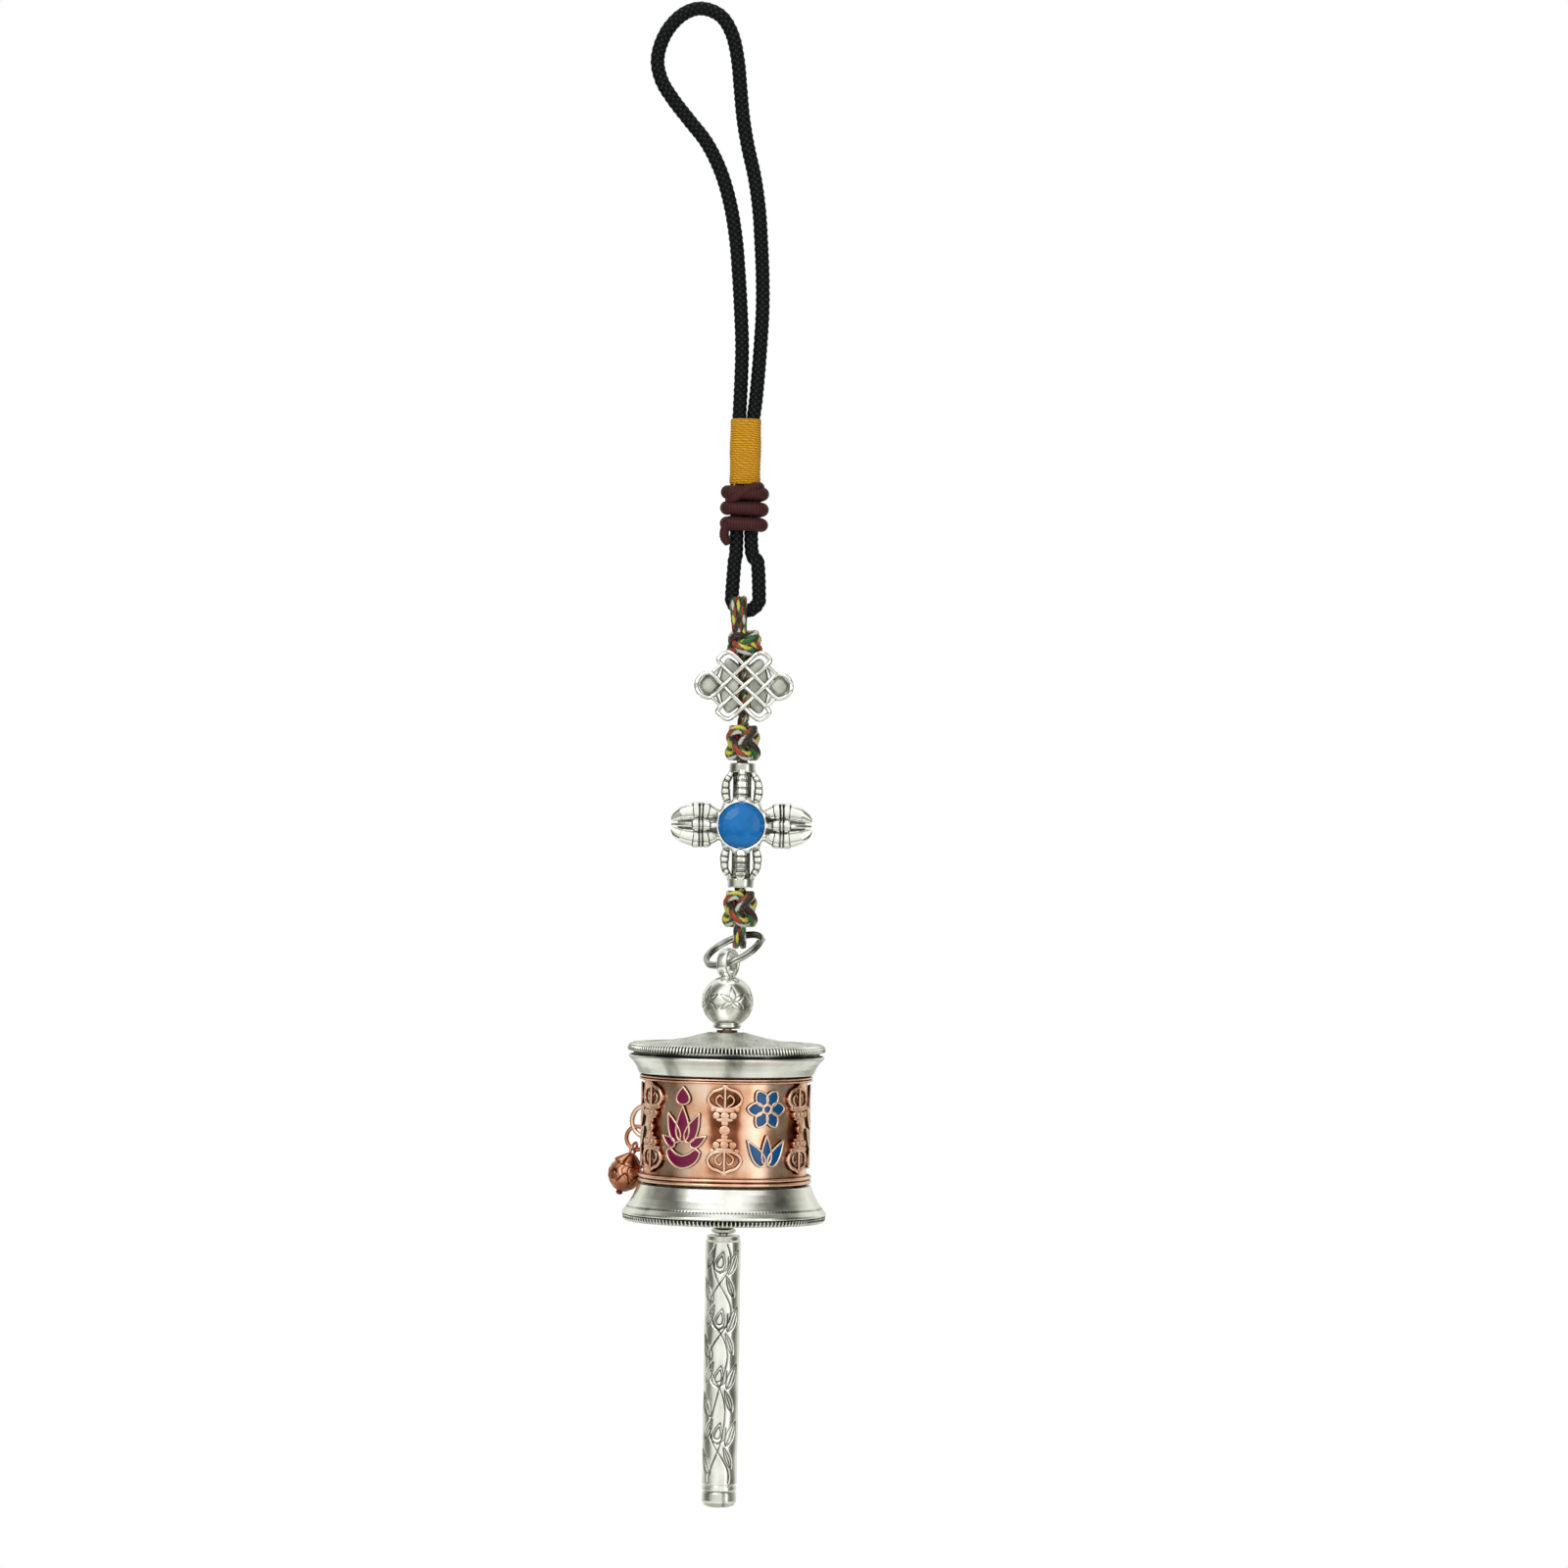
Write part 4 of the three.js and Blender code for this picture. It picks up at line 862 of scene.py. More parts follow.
def make_split_ring():
    """Two turns of flattened wire wound close, each end cut square."""
    long, short, axis = ring_frame()
    turns = 1.92
    swing = TAU * turns * np.linspace(0, 1, 240)
    climb = 0.6 * (swing / TAU - turns / 2)
    path = node_middle("split_ring") + RING_R * (np.cos(swing)[:, None] * long
                                                 + np.sin(swing)[:, None] * short)
    path = path + climb[:, None] * axis
    wire = body(swept(path, 0.29, axis, 16, flat=1.45, square=2.6), wear=0.75)
    make_piece("split_ring_turns", [wire], "ring", [steel], ["split_ring"])


def leaf_strokes(base, tip, width):
    """Outline and midrib of a leaf on a flat pattern, as three strokes of points."""
    base, tip = np.array(base, float), np.array(tip, float)
    axis = tip - base
    across = np.array([-axis[1], axis[0]]) * width
    t = np.linspace(0, 1, 24)[:, None]
    bow = np.sin(np.pi * t**0.8)
    return [base + axis * t + across * bow, base + axis * t - across * bow, base + axis * t * 0.8]


def stroke_depth(x, z, strokes, width):
    """Chased lines on a flat pattern: 1 on the nearest stroke, falling off over the width."""
    nearest = np.full(x.shape, 9.0)
    for stroke in strokes:
        low, high = stroke[:, 1].min() - 4 * width, stroke[:, 1].max() + 4 * width
        rows = (z[:, 0] > low) & (z[:, 0] < high)
        if rows.any():
            gap = np.hypot(x[rows][..., None] - stroke[:, 0], z[rows][..., None] - stroke[:, 1]).min(axis=-1)
            nearest[rows] = np.minimum(nearest[rows], gap)
    return np.exp(-(nearest / width)**2)


def make_finial():
    """Band eye over an engraved ball with a collar below it."""
    low, high = node_low("finial")[2], node_high("finial")[2]
    eye_outer = 2.6
    eye_z = high - eye_outer
    ball_r = 4.45
    ball_z = low + 4.65
    hole = np.array([math.cos(EYE_TURN), math.sin(EYE_TURN), 0])
    beside = np.cross(Z_AXIS, hole)
    swing = TAU * np.arange(72) / 72
    circle = np.array([*WHEEL, eye_z]) + 2.22 * (np.cos(swing)[:, None] * beside
                                                 + np.sin(swing)[:, None] * Z_AXIS)
    band = body(swept(circle, 0.95, hole, 20, closed=True, flat=0.42, square=3.5), along=True, wear=0.8)
    neck = turned([(1.0, ball_z + 4.1), (1.15, ball_z + 4.3), (1.0, ball_z + 4.6), (0.8, ball_z + 4.8)], 32,
                  WHEEL)
    strokes = []
    for k in range(5):
        across = (k - 2) * TAU * ball_r / 5 * 0.92
        for reach, lean in ((3.2, 0), (2.7, 0.95), (2.7, -0.95), (2.5, 2.2), (2.5, -2.2)):
            tip = (across + reach * math.sin(lean), 0.1 + reach * math.cos(lean))
            strokes += leaf_strokes((across, 0.1), tip, 0.17)[:2]

    def engraving(angle, distance, radius, height):
        x = (angle + np.pi * 0.93) % TAU * ball_r - np.pi * ball_r
        z = (height - ball_z) * 1.25
        line = stroke_depth(x, z, strokes, 0.13)
        return -0.1 * line, 0.85 - 0.5 * line

    tilt = np.linspace(-0.99, 0.99, 130) * np.pi / 2
    ball = turned(np.column_stack([ball_r * np.cos(tilt), ball_z + ball_r * np.sin(tilt)]), 260, WHEEL,
                  engraving)
    collar = turned(crisp_rows([(0.3, low), (2.15, low), (2.4, low + 0.3), (2.4, low + 0.55),
                                (2.1, low + 1.0), (2.0, low + 1.5), (0.3, low + 1.6)], 0.12), 64, WHEEL)
    make_piece("finial_casting", [band, neck, ball, collar], "handle", [silver],
               ["finial"])


# ---------------------------------------------------------------- drum
def painted_reflection_bands(angle, reflection_bands):
    """Sum of soft upright bars of painted reflection round a turned band, darker bands fixed to the piece,
    each given by its angle, width and depth."""
    total = 0
    for middle, width, depth in reflection_bands:
        off = (angle - middle + np.pi) % TAU - np.pi
        total = total + depth * np.exp(-(off / width)**4)
    return total


def grained(angle, distance, radius, height):
    """Frosted top: a fine random grain on the dome and none on the polished band below it, which has painted
    reflection bands.
    """
    grain = np.random.default_rng(7).random(angle.shape)
    crest = node_high("lid")[2]
    top = step_between(height, crest - 2.6, 0.0, 0.1) * step_between(radius, 2.6, 16.1, 0.1)
    groove = step_between(height, crest - 3.95, crest - 3.3, 0.05) * step_between(radius, 15.7, 16.6, 0.05)
    # painted reflection: darker upright bands at fixed angles round the band
    reflection_bands = painted_reflection_bands(angle, ((0.08, 0.13, 0.9), (0.85, 0.28, 0.6), (-0.62, 0.11, 0.8),
                                      (2.4, 0.3, 0.7)))
    level = 0.8 - 0.38 * reflection_bands * (1 - top) - 0.5 * top * (0.8 - grain) - 0.75 * groove
    return 0.11 * top * (grain - 0.5), np.clip(level, 0, 1)


def coin_edge(count, depth, inner):
    """Fine upright teeth cut round an edge, outside the inner radius."""
    def relief(angle, distance, radius, height):
        tooth = 0.5 + 0.5 * np.cos(count * angle)
        sharp = tooth**0.5
        outside = step_between(radius, inner, 99.0, 0.05)
        return -depth * outside * (1 - sharp), np.clip(0.9 - 1.5 * outside * (1 - sharp), 0, 1)
    return relief


def make_lid():
    """Frosted dome over a polished hollow band, with a coin edge set on its rim."""
    top = node_high("lid")[2]
    rim = [(2.3, top - 1.0), (7, top - 2.1), (13, top - 2.95), (15.3, top - 3.3), (14.5, top - 7.0),
           (15.0, top - 7.05), (15.12, top - 6.8), (15.5, top - 5.9), (16.05, top - 5.05),
           (16.75, top - 4.35), (16.85, top - 4.1), (16.75, top - 3.9), (16.1, top - 3.8), (16.0, top - 3.6),
           (16.0, top - 2.5), (15.8, top - 2.25), (13.5, top - 1.95), (10, top - 1.55), (7, top - 1.0),
           (4.6, top - 0.4), (3.3, top - 0.02), (2.5, top), (2.3, top - 0.2), (2.3, top - 1.0)]
    lid = turned(crisp_rows(rim, 0.22)[:-1], 420, WHEEL, grained, closed=True)
    make_piece("lid_dome", [lid], "drum", [frosted_silver], ["lid"])
    low, high = node_low("lid_beading")[2], node_high("lid_beading")[2]
    edge = [(15.6, low + 0.35), (16.6, low + 0.35), (17.0, low + 0.5), (17.05, low + 0.9),
            (16.8, high + 0.25), (16.2, high + 0.55), (15.5, high + 0.5), (15.6, low + 0.35)]
    beading = turned(crisp_rows(edge, 0.13)[:-1], 1020, WHEEL, coin_edge(170, 0.55, 15.9), closed=True)
    make_piece("lid_coin_edge", [beading], "drum", [silver], ["lid_beading"])


def wall_streaks(angle, distance, radius, height):
    """Rolled copper wall: shallow dents, and patina that stays round the reliefs and along both rims."""
    dent = np.sin(5 * angle + 1.3 * np.sin(height * 0.9)) * np.sin(height * 0.55 + 2 * np.sin(3 * angle))
    level = height - node_middle("enamel_frame_1")[2]
    off = np.abs((angle / ORNAMENT_TURN + 0.5) % 1 - 0.5) * ORNAMENT_TURN * DRUM_R
    round_relief = np.exp(-(off / 2.7)**6 - (level / 7.9)**8)
    near_rim = np.exp(-((np.abs(level) - 8.4) / 0.5)**2)
    return 0.03 * dent, np.clip(0.76 + 0.1 * dent - 0.47 * round_relief - 0.2 * near_rim, 0, 1)


def make_drum_wall():
    """Copper wall between two beaded copper rims."""
    low, high = node_low("drum_shell")[2], node_high("drum_shell")[2]
    wall = [(13.4, low + 1), (13.4, low), (DRUM_R, low), (DRUM_R, high), (13.4, high), (13.4, low + 1)]
    make_piece("drum_wall", [turned(crisp_rows(wall, 0.6)[:-1], 240, WHEEL, wall_streaks, closed=True)],
               "drum", [copper], ["drum_shell"])
    for name in ("upper_rim", "lower_rim"):
        low, high = node_low(name)[2], node_high(name)[2]
        height = high - low
        t = np.linspace(0, 1, 40)
        ridges = 14.42 + 0.5 * np.sqrt(np.abs(np.sin(np.pi * 2 * t)) + 0.02)
        bead = np.concatenate([[(14.1, low)], np.column_stack([ridges, low + height * t]), [(14.1, high)]])
        bead = turned(np.vstack([bead, np.column_stack([np.full(4, 14.1), np.linspace(high, low, 6)[1:-1]])]),
                      220, WHEEL, closed=True)
        valley = np.abs(np.sin(np.pi * 2 * t)) * 0.7 + 0.15
        bead["wear"] = np.repeat(np.concatenate([[0.3], valley, [0.3], np.full(4, 0.3)])[:, None], 220,
                                 axis=1)
        make_piece(name + "_beads", [bead], "drum", [copper], [name])


def make_base():
    """Polished silver flare with one beaded line, over a coarse reeded edge."""
    high, low = node_high("base")[2], node_low("base")[2]
    flare = [(2.3, low + 0.2), (2.3, low), (16.9, low), (17.35, low + 0.05), (17.6, low + 0.25),
             (17.5, low + 0.55), (17.0, low + 1.15), (16.4, low + 2.0), (15.75, low + 3.1),
             (15.2, low + 4.3), (14.85, high - 0.1), (14.7, high), (14.1, high), (14.4, low + 4.1),
             (15.2, low + 2.6), (15.7, low + 1.1), (2.3, low + 1.0), (2.3, low + 0.2)]

    def fine_line(angle, distance, radius, height):
        line = step_between(height, low + 1.28, low + 1.55, 0.04) * step_between(radius, 16.3, 99.0, 0.05)
        dots = 0.5 + 0.5 * np.cos(170 * angle)
        mark = np.clip(np.sin(angle * 7) * np.sin(angle * 3 + height), 0, 1) * 0.02
        # painted reflection: darker upright bands at fixed angles round the flare
        reflection_bands = painted_reflection_bands(angle, ((-0.95, 0.13, 0.8), (0.72, 0.16, 0.9), (-0.3, 0.1, 0.3),
                                          (2.7, 0.4, 0.7)))
        bright = 0.84 - 0.36 * reflection_bands - 0.6 * line * (1.2 - dots)
        return -0.1 * line * (1 - 0.8 * dots) - mark, np.clip(bright, 0, 1)

    foot = crisp_rows(flare[:5], 0.8)
    flank = crisp_rows(flare[4:12], 0.14)
    inside = crisp_rows(flare[11:], 0.8)
    body_rows = np.vstack([foot[:-1], flank[:-1], inside[:-1]])
    make_piece("base_flare", [turned(body_rows, 680, WHEEL, fine_line, closed=True)], "drum",
               [silver], ["base"])
    low, high = node_low("base_reeding")[2] + 0.2, node_high("base_reeding")[2] + 0.25
    edge = [(15.6, low + 0.3), (15.6, low), (16.8, low), (17.2, low + 0.15), (17.4, low + 0.5), (17.5, high),
            (15.6, high), (15.6, low + 0.3)]
    make_piece("base_reeded_edge", [turned(crisp_rows(edge, 0.14)[:-1], 900, WHEEL, coin_edge(150, 0.6, 16.0),
                                           closed=True)], "drum", [silver],
                                           ["base_reeding"])


def drum_wire(points, count, radius, lift, azimuth, closed=False, wear=0.78, flat=1.0, taper=0.0):
    """Round wire laid on the drum's wall along points given round and above it."""
    line = smooth(points, count, closed)
    angle = azimuth + line[:, 0] / DRUM_R
    out = np.column_stack([np.sin(angle), -np.cos(angle), 0 * angle])
    share = np.linspace(0, 1, count)
    thick = radius * (1 - taper * np.abs(2 * share - 1)**2)
    points = swept(on_drum(line[:, 0], line[:, 1], lift, azimuth), thick, out, 10, closed, flat)
    crown = np.clip(0.15 + np.sin(TAU * np.arange(10) / 10), 0, 1)**0.8
    return body(points, along=closed, wear=np.broadcast_to(wear * crown, (count, 10)))


def drum_cell(outline, height, azimuth, wear_top=0.72, rings=7):
    """Low pillow on the drum's wall. Each ring is the outline drawn in towards its own middle as it rises,
    by a quarter circle near the edge."""
    middle = outline.mean(axis=0)
    swing = np.linspace(0, np.pi / 2, rings)
    share = np.concatenate([[1.0], 1 - 0.16 * (1 - np.cos(swing)), [0.55, 0.2]])
    lift = np.concatenate([[-0.25], height * (0.35 + 0.65 * np.sin(swing)), [height * 1.02, height * 1.03]])
    flat = middle + (outline - middle)[None] * share[:, None, None]
    points = on_drum(flat[..., 0], flat[..., 1], np.broadcast_to(lift[:, None], flat.shape[:2]), azimuth)
    wear = np.concatenate([[0.2], 0.2 + (wear_top - 0.2) * np.sin(swing), [wear_top, wear_top]])
    return body(points, wear=np.repeat(wear[:, None], len(outline), axis=1))


def drop_outline(x, z, half_width, half_length, tilt=0.0, point=1.2, count=44):
    """Pointed drop: along it cos t, across it sin t · sin(t/2)^point, tilted from upright."""
    t = TAU * (np.arange(count) + 0.5) / count
    across = -half_width * 1.3 * np.sin(t) * np.sin(t / 2)**point
    along = half_length * np.cos(t)
    return np.column_stack([x + across * math.cos(tilt) + along * math.sin(tilt),
                            z - across * math.sin(tilt) + along * math.cos(tilt)])


def oval_outline(x, z, half_width, half_height, lobes=0, depth=0.0, phase=0.0, count=48):
    """Oval whose radius is waved by a number of lobes."""
    t = TAU * np.arange(count) / count
    r = 1 + depth * np.cos(lobes * t + phase)
    return np.column_stack([x + half_width * r * np.cos(t), z + half_height * r * np.sin(t)])


def strip_cell(centre_line, half_width, height, azimuth, count=60):
    """Tapered strip laid on the drum along a line, with the outline of its two edges."""
    line = smooth(centre_line, count)
    share = np.linspace(0, 1, count)
    width = half_width * (0.3 + 0.7 * np.sin(np.pi * share)**0.5)
    direction = unit(np.gradient(line, axis=0))
    across = np.column_stack([-direction[:, 1], direction[:, 0]])
    outline = np.vstack([line - across * width[:, None], (line + across * width[:, None])[::-1]])
    angle = azimuth + line[:, 0] / DRUM_R
    out = np.column_stack([np.sin(angle), -np.cos(angle), 0 * angle])
    points = swept(on_drum(line[:, 0], line[:, 1], 0.0, azimuth), height, out, 20, flat=width / height,
                   square=3.0)
    return body(points, wear=0.7), outline


def lotus_motif():
    """Lotus in a bowl under a jewel."""
    cells = [drop_outline(0, 0.9, 1.3, 3.0), drop_outline(-1.95, 0.25, 1.1, 2.7, -0.42),
             drop_outline(1.95, 0.25, 1.1, 2.7, 0.42), drop_outline(-2.9, -2.0, 0.8, 1.6, -1.0),
             drop_outline(2.9, -2.0, 0.8, 1.6, 1.0), drop_outline(0, 5.7, 1.3, 1.5)]
    return cells, [([(-2.9, -3.6), (-1.7, -5.0), (0, -5.6), (1.7, -5.0), (2.9, -3.6)], 1.05)]


def rosette_motif():
    """Six-petalled flower with a round heart, over a bud between two leaves."""
    cells = [oval_outline(0, 3.6, 0.7, 0.7)]
    for k in range(6):
        turn = (k + 0.5) * TAU / 6
        cells.append(drop_outline(2.15 * math.sin(turn), 3.6 + 2.15 * math.cos(turn), 0.95, 1.35, turn,
                                  point=0.4))
    cells += [drop_outline(0, -3.4, 0.95, 2.5), drop_outline(-2.0, -3.9, 1.05, 2.6, -0.6),
              drop_outline(2.0, -3.9, 1.05, 2.6, 0.6)]
    return cells, []


def leaf_motif():
    """Spray of five leaves on a stem over two drops."""
    cells = [drop_outline(0, 4.7, 1.2, 2.5), drop_outline(-1.95, 2.0, 1.0, 2.3, -0.75),
             drop_outline(1.95, 2.0, 1.0, 2.3, 0.75), drop_outline(-1.95, -1.6, 1.0, 2.3, -0.85),
             drop_outline(1.95, -1.6, 1.0, 2.3, 0.85), drop_outline(-1.3, -5.4, 0.95, 1.5, 0.3),
             drop_outline(1.3, -5.4, 0.95, 1.5, -0.3)]
    return cells, [([(0, 1.6), (0, -1.5), (0, -4.2)], 0.4)]


def make_motifs():
    """Six enamelled ornaments between the vajras: each cell of enamel has a raised copper edge round it."""
    designs = (lotus_motif, rosette_motif, leaf_motif)
    for i in range(6):
        azimuth = (i - 0.5) * ORNAMENT_TURN
        cells, strips = designs[i % 3]()
        fills = [drum_cell(outline, 0.42, azimuth) for outline in cells]
        edges = list(cells)
        for line, half_width in strips:
            fill, outline = strip_cell(line, half_width, 0.42, azimuth)
            fills.append(fill)
            edges.append(outline)
        wires = [drum_wire(outline, 110, 0.2, 0.34, azimuth, closed=True, wear=0.95) for outline in edges]
        make_piece(f"enamel_cells_{i + 1}", fills, "drum", [enamels[i % 3]],
                   [f"enamel_{i + 1}"])
        make_piece(f"enamel_edges_{i + 1}", wires, "drum", [copper], [f"enamel_frame_{i + 1}"])


def vajra_bodies(azimuth):
    """Upright vajra in relief: bead, neck, lotus and an open crown of prongs, the same above and below."""
    bodies = [drum_cell(oval_outline(0, 0, 0.95, 0.85), 1.0, azimuth)]
    for sign in (1, -1):
        def placed(points):
            return [(x, sign * z) for x, z in points]
        bodies.append(drum_cell(oval_outline(0, sign * 1.15, 0.62, 0.5), 0.7, azimuth))
        bodies.append(drum_cell(oval_outline(0, sign * 1.75, 1.5, 0.34), 0.75, azimuth))
        for x, z, size in ((-1.35, 2.5, 0.62), (1.35, 2.5, 0.62), (0, 2.45, 0.75)):
            bodies.append(drum_cell(oval_outline(x, sign * z, size, 0.62), 0.95, azimuth))
        bodies.append(drum_cell(oval_outline(0, sign * 3.3, 1.75, 0.34), 0.8, azimuth))
        for x in (-2.0, 2.0):
            bodies.append(drum_cell(oval_outline(x, sign * 3.55, 0.42, 0.42), 0.75, azimuth))
        crown = placed([(0.2, 3.6), (1.5, 3.75), (2.55, 4.5), (2.75, 5.5), (2.0, 6.5), (0.9, 6.9),
                        (0.15, 7.3)])
        mirrored = [(-x, z) for x, z in crown]
        bodies.append(drum_wire(crown, 60, 0.34, 0.4, azimuth))
        bodies.append(drum_wire(mirrored, 60, 0.34, 0.4, azimuth))
        for lean in (-1, 1):
            curl = placed([(0.25 * lean, 3.8), (1.3 * lean, 4.5), (1.45 * lean, 5.3), (0.8 * lean, 5.9),
                           (0.3 * lean, 5.3)])
            bodies.append(drum_wire(curl, 40, 0.2, 0.3, azimuth, taper=0.4))
            bodies.append(drum_cell(oval_outline(2.85 * lean, sign * 5.1, 0.36, 0.5), 0.6, azimuth))
        bodies.append(drum_wire(placed([(0, 3.5), (0, 5.2), (0, 7.5)]), 30, 0.27, 0.55, azimuth))
        bodies.append(drum_cell(oval_outline(0, sign * 7.35, 0.5, 0.42), 0.75, azimuth))
    return bodies


def make_vajras():
    """Five vajra ornaments, at every sixth of a turn but the one where the weight hangs."""
    for i in (0, 1, 2, 3, 5):
        node_name = f"vajra_ornament_{i + 1}"
        make_piece(node_name + "_relief", vajra_bodies(i * ORNAMENT_TURN), "drum", [copper],
                   [node_name])


# ---------------------------------------------------------------- weight
def make_weight():
    """Half ring on a small plate, a plain link, and an embossed ball hung from a cap with its own loop."""
    out = np.array([math.sin(WEIGHT_AZIMUTH), -math.cos(WEIGHT_AZIMUTH), 0])
    beside = np.cross(Z_AXIS, out)
    eye_z = (node_low("weight_eye")[2] + node_high("weight_eye")[2]) / 2
    face = DRUM_R + 0.65
    arc = np.linspace(-np.pi / 2, np.pi / 2, 60)
    centre = np.array([*WHEEL, eye_z])
    staple = centre + (face + 2.75 * np.cos(arc))[:, None] * out + 2.75 * np.sin(arc)[:, None] * Z_AXIS
    legs = np.vstack([staple[:1] - 0.5 * out, staple, staple[-1:] - 0.5 * out])
    ring = body(swept(legs, 0.42, beside, 14, square=2.4), wear=0.8)
    plate = drum_cell(oval_outline(0, 0, 1.25, 3.3, 4, 0.04), 0.75, WEIGHT_AZIMUTH)
    middle = node_middle("enamel_frame_1")[2]
    plate["points"] = plate["points"] + (0, 0, eye_z - middle)
    make_piece("weight_staple", [ring, plate], "drum", [copper], ["weight_eye"])

    hold = centre + (face - 0.05 + 2.75 * math.cos(math.radians(-55))) * out \
        + 2.75 * math.sin(math.radians(-55)) * Z_AXIS
    foot = node_low("weight_ball")
    ball_centre = np.array([*WHEEL, 0]) + 18.6 * out + (foot[2] + 3.9) * Z_AXIS
    down = unit(ball_centre - hold)
    forward = np.cross(down, beside)
    link_centre = hold + 0.76 * down
    swing = TAU * np.arange(64) / 64
    link_path = link_centre + 2.0 * (np.cos(swing)[:, None] * down + np.sin(swing)[:, None] * forward)
    link = body(swept(link_path, 0.36, beside, 14, closed=True), along=True, wear=0.75)
    make_piece("weight_ring_link", [link], "link", [dark_copper], ["weight_link"])

    link_foot = link_centre + 2.0 * down
    loop_path = link_foot + 1.15 * (np.cos(swing)[:, None] * down + np.sin(swing)[:, None] * beside)
    loop = body(swept(loop_path, 0.25, forward, 12, closed=True), along=True, wear=0.8)

    def hung(rows, relief=None, segments=96):
        """Body turned about the line down from the link, its heights measured up that line."""
        made = turned(rows, segments, (0, 0), relief)
        x, y, z = np.moveaxis(made["points"], -1, 0)
        made["points"] = link_foot + x[..., None] * beside + y[..., None] * np.cross(-down, beside) \
            + z[..., None] * -down
        return made

    def petals(count, depth):
        def relief(angle, distance, radius, height):
            wave = np.abs(np.sin(count * angle / 2))
            return -depth * (1 - wave)**2, 0.75 - 0.6 * (1 - wave)**2
        return relief

    cap = hung(crisp_rows([(0.3, -2.9), (2.35, -2.9), (2.6, -2.6), (2.45, -2.3), (1.9, -1.85), (1.2, -1.3),
                           (0.85, -1.0), (0.3, -0.85)], 0.1), petals(8, 0.16))
    make_piece("weight_cap_casting", [loop, cap], "weight", [dark_copper], ["weight_cap"])

    drop = np.linalg.norm(ball_centre - link_foot)

    def embossing(angle, distance, radius, height):
        level = (height + drop) / 3.05
        petal = np.abs(np.sin(4 * angle))
        leaf = np.exp(-((petal * 0.55 - 0.35 - level) / 0.07)**2)
        upper = np.exp(-((level - 0.78) / 0.05)**2)
        curl = np.exp(-((np.sin(8 * angle + 2.5 * np.sin(4 * level)) * 0.5) / 0.16)**2)
        curl = curl * step_between(level, -0.1, 0.65, 0.08)
        lines = np.clip(leaf + upper + 0.6 * curl, 0, 1)
        # painted shade: the lower part of the ball is darkened
        sunk = step_between(level, -2.0, -0.45, 0.3)
        return -0.13 * lines, np.clip(0.8 - 0.6 * lines - 0.35 * sunk, 0, 1)

    ball = hung(crisp_rows([(0.15, -drop - 3.75), (0.5, -drop - 3.6), (0.62, -drop - 3.35),
                            (0.5, -drop - 3.1), (1.3, -drop - 2.75), (2.2, -drop - 2.0), (2.8, -drop - 1.1),
                            (3.05, -drop), (2.85, -drop + 1.0), (2.3, -drop + 1.85), (1.7, -2.95),
                            (0.4, -2.9)], 0.07, 0.02),
                embossing, 240)
    make_piece("weight_ball_embossed", [ball], "weight", [dark_copper], ["weight_ball"])


# ---------------------------------------------------------------- handle
def handle_strokes(around):
    """Chased pattern of the handle, unrolled: pairs of long stems that part and cross again, with a slim leaf
    outside each bow, and a bud in every second one."""
    low, high = node_low("handle_tube")[2], node_high("handle_tube")[2]
    strokes = []
    for k in range(2):
        offset = k * around / 2 - 0.4
        z = np.linspace(low + 1.7, high - 1.5, 420)
        for lean in (-1, 1):
            stem = offset + lean * 1.7 * np.sin(TAU * (z - low) / 19.0 + 0.6) + 0.5 * np.sin(z * 0.52 + lean)
            strokes.append(np.column_stack([stem, z]))
        for row, level in enumerate(np.arange(low + 3.0, high - 5.0, 4.9)):
            lean = 1 if (row + k) % 2 else -1
            x = offset + lean * 1.5
            strokes += leaf_strokes((x, level), (x + lean * 2.0, level + 4.2), 0.17)
            strokes += leaf_strokes((offset - lean * 2.6, level + 1.0), (offset - lean * 1.1, level + 4.6),
                                    0.13)
            if row % 2:
                for width in (1.05, 0.62):
                    strokes.append(drop_outline(offset, level + 2.2, width, width * 1.7, 0.25 * lean))
                for side in (-1, 1):
                    strokes.append(smooth([(offset, level + 0.2), (offset + side * 1.3, level + 1.2),
                                           (offset + side * 1.45, level + 3.0)], 20))
    return strokes


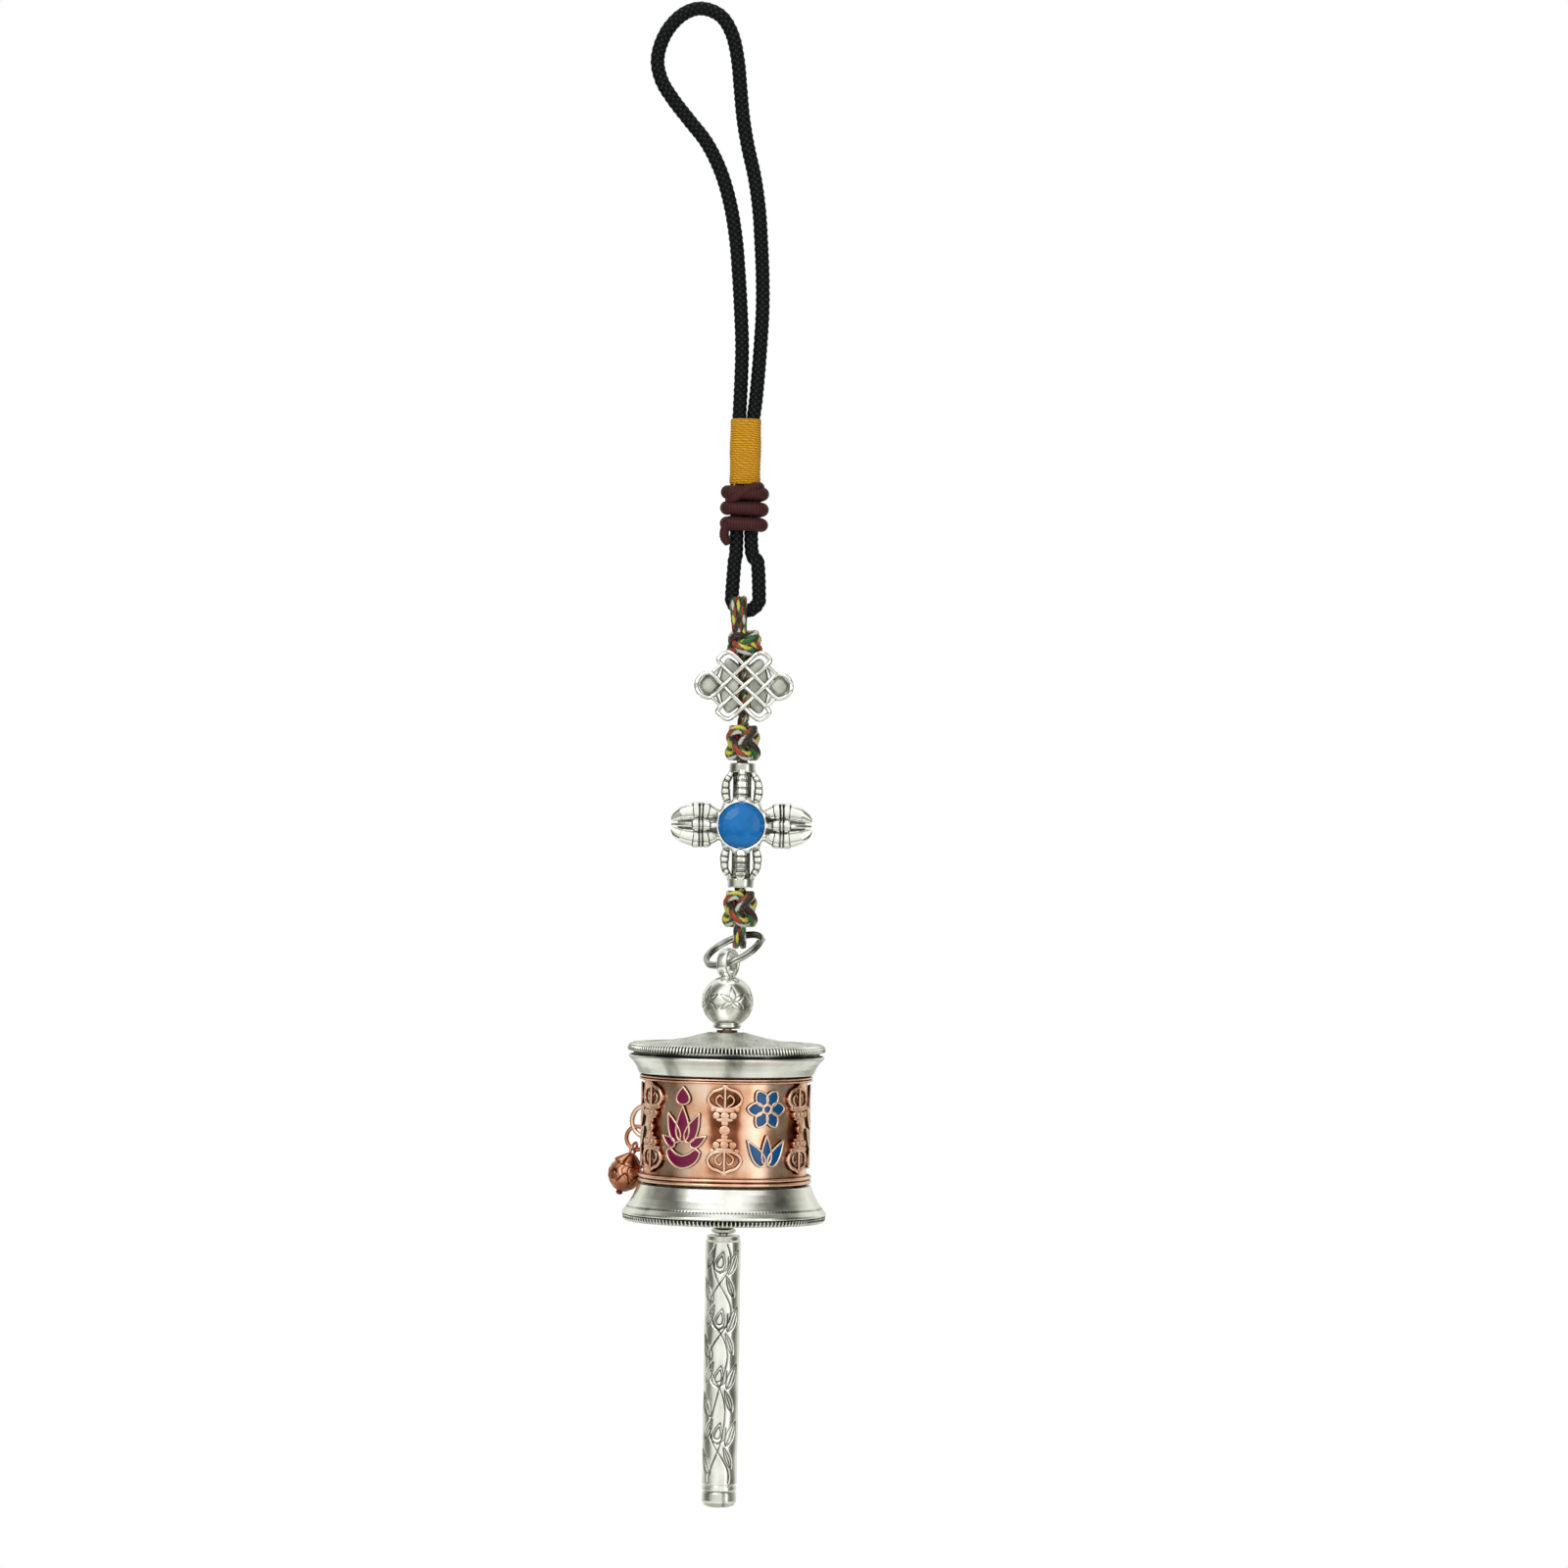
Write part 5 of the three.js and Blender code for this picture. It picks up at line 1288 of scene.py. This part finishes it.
def make_handle():
    """Chased tube between a bead and a cap: the strokes are sunk and the ground beside them is raised."""
    low, high = node_low("handle_tube")[2], node_high("handle_tube")[2]
    radius = 3.0
    around = TAU * radius
    strokes = handle_strokes(around)

    def chasing(angle, distance, r, height):
        x = angle * radius
        depth = np.zeros_like(x)
        for shift in (-around, 0, around):
            depth = np.maximum(depth, stroke_depth(x + shift, height, strokes, 0.13))
        swell = 0.03 * np.sin(2 * angle + height * 0.42) + 0.02 * np.sin(5 * angle - height * 0.9)
        inside = step_between(height, low + 1.3, high - 1.2, 0.05) * step_between(r, 2.8, 9, 0.02)
        return swell - 0.2 * depth * inside, np.clip(0.85 - 0.78 * depth * inside, 0, 1)

    rows = [(1.2, low + 0.05), (2.9, low), (2.95, low + 0.15), (2.95, low + 0.8), (2.78, low + 0.9),
            (2.78, low + 1.05), (radius, low + 1.2), (radius, high - 1.1), (2.8, high - 0.8),
            (2.85, high - 0.15), (2.6, high), (1.2, high)]
    make_piece("handle_tube_chased", [turned(crisp_rows(rows, 0.1), 180, WHEEL, chasing)], "handle",
               [silver], ["handle_tube"])
    low, high = node_low("handle_bead")[2], node_high("handle_bead")[2]
    swing = np.linspace(-0.48, 0.48, 24) * np.pi
    bead = np.column_stack([1.35 + 0.75 * np.cos(swing), (low + high) / 2 + (high - low) / 2 * np.sin(swing)])
    make_piece("handle_bead_turned", [turned(bead, 64, WHEEL)], "handle", [silver],
               ["handle_bead"])
    low, high = node_low("handle_cap")[2], node_low("handle_tube")[2] - 0.1

    def nicks(angle, distance, r, height):
        dent = np.clip(np.sin(3 * angle + 1) * np.sin(5 * angle), 0, 1)**3
        return -0.06 * dent, 0.7 - 0.4 * dent

    cap = crisp_rows([(0.3, low), (2.0, low), (2.65, low + 0.3), (2.92, low + 0.8), (2.95, low + 1.1),
                      (2.95, high - 0.25), (2.8, high), (0.3, high)], 0.12)
    make_piece("handle_cap_turned", [turned(cap, 96, WHEEL, nicks)], "handle", [silver],
               ["handle_cap"])


def refinish(node_name, finish):
    """Gives a carried-over node a finish of this scene."""
    for material_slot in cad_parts[node_name].material_slots:
        material_slot.material = finish


# ---------------------------------------------------------------- floor and light
def add_floor():
    """Pale round floor a little below the hanging piece, white at its rim with a soft grey pool under it: the
    pool is a painted shadow and the white rim glows by painted emission.
    """
    mesh = bpy.data.meshes.new("floor")
    angle = TAU * np.arange(96) / 96
    rim = np.column_stack([0.3 * np.cos(angle), 0.3 * np.sin(angle), np.full(96, cad_low[2] - 0.06)])
    mesh.from_pydata(rim.tolist(), [], [list(range(96))])
    material, tree = new_finish("pale floor, painted shadow and glow")
    place = node(tree, "ShaderNodeTexCoord").outputs["Object"]
    flat = node(tree, "ShaderNodeMapping", {"Vector": place, "Scale": (1, 1, 0)})
    reach = node(tree, "ShaderNodeVectorMath", {0: flat}, operation="LENGTH").outputs["Value"]
    # painted shadow and glow: grey and unlit near the middle, white and emitting light towards the rim
    tone = node(tree, "ShaderNodeMapRange", {"Value": reach, "From Min": 0.03, "From Max": 0.28})
    finish_with(tree, {
        "Base Color": node(tree, "ShaderNodeValToRGB", {"Fac": tone}, [(0.0, "#c6c6c1"), (1.0, "#f2f2f0")]),
        "Emission Color": node(tree, "ShaderNodeValToRGB", {"Fac": tone}, [
            (0.0, "#000000"), (1.0, "#ffffff")]),
        "Roughness": 0.9, "Specular IOR Level": 0.1, "Emission Strength": 0.45})
    mesh.materials.append(material)
    floor = bpy.data.objects.new("floor", mesh)
    bpy.context.scene.collection.objects.link(floor)


def add_studio():
    """White surround for the eye. For light and reflections it is a tent of upright grey and white panels,
    brighter above than below, which gives the polished plate its soft upright bands."""
    world = bpy.data.worlds.new("studio")
    bpy.context.scene.world = world
    world.use_nodes = True
    tree = world.node_tree
    tree.nodes.clear()
    direction = node(tree, "ShaderNodeTexCoord").outputs["Generated"]
    split = node(tree, "ShaderNodeSeparateXYZ", {"Vector": direction})
    front = node(tree, "ShaderNodeMath", {0: split.outputs["Y"], 1: -1.0}, operation="MULTIPLY")
    azimuth = node(tree, "ShaderNodeMath", {0: split.outputs["X"], 1: front}, operation="ARCTAN2")
    way_round = node(tree, "ShaderNodeMapRange", {
        "Value": azimuth, "From Min": -math.pi, "From Max": math.pi})
    way_up = node(tree, "ShaderNodeMapRange", {
        "Value": split.outputs["Z"], "From Min": -1.0, "From Max": 1.0})
    panels = node(tree, "ShaderNodeValToRGB", {"Fac": way_round}, [
        (0.0, "#d2d4ce"), (0.12, "#e6e8e2"), (0.21, "#7d7d76"), (0.29, "#62625c"), (0.36, "#dfe1da"),
        (0.43, "#ffffff"), (0.5, "#f2f3ee"), (0.57, "#ffffff"), (0.62, "#e4e5df"), (0.67, "#85857d"),
        (0.74, "#56564f"), (0.81, "#97978f"), (0.88, "#e9eae4"), (1.0, "#d2d4ce")])
    height = node(tree, "ShaderNodeValToRGB", {"Fac": way_up}, [
        (0.0, "#9a9a96"), (0.36, "#9c9d98"), (0.44, "#f2f2ee"), (1.0, "#ffffff")])
    mixed = node(tree, "ShaderNodeVectorMath", {0: panels, 1: height}, operation="MULTIPLY")
    studio = node(tree, "ShaderNodeBackground", {"Color": mixed, "Strength": 1.15})
    white = node(tree, "ShaderNodeBackground", {"Color": colour("#ffffff"), "Strength": 1.0})
    seen = node(tree, "ShaderNodeLightPath").outputs["Is Camera Ray"]
    both = node(tree, "ShaderNodeMixShader", {"Fac": seen, 1: studio, 2: white})
    node(tree, "ShaderNodeOutputWorld", {"Surface": both})


# ---------------------------------------------------------------- making
bpy.context.scene.view_settings.view_transform = "Standard"
add_camera()
make_hanging_cord()
make_cord_eye()
make_whipping()
make_cord_wrap()
make_string()
make_knot_charm()
make_vajra_charm()
make_split_ring()
make_finial()
make_lid()
make_drum_wall()
make_base()
make_motifs()
make_vajras()
make_weight()
make_handle()
refinish("spindle", bare_steel)
for bush in ("upper_washer", "lower_washer", "lid_bush", "base_bush"):
    refinish(bush, brass)
refinish("handle_core", beech)
refinish("scroll_core", beech)
refinish("paper_scroll", scroll_paper)
add_floor()
add_studio()
add_soft_light("key", (-0.5, -0.9, 0.5), (0, 0, -0.15), 0.6, 0.6, 2.6)
add_soft_light("fill", (0.8, -0.7, 0.0), (0, 0, -0.15), 0.4, 0.9, 1.2)
add_soft_light("top", (0.0, 0.3, 0.9), (0, 0, -0.15), 0.8, 0.8, 1.6)
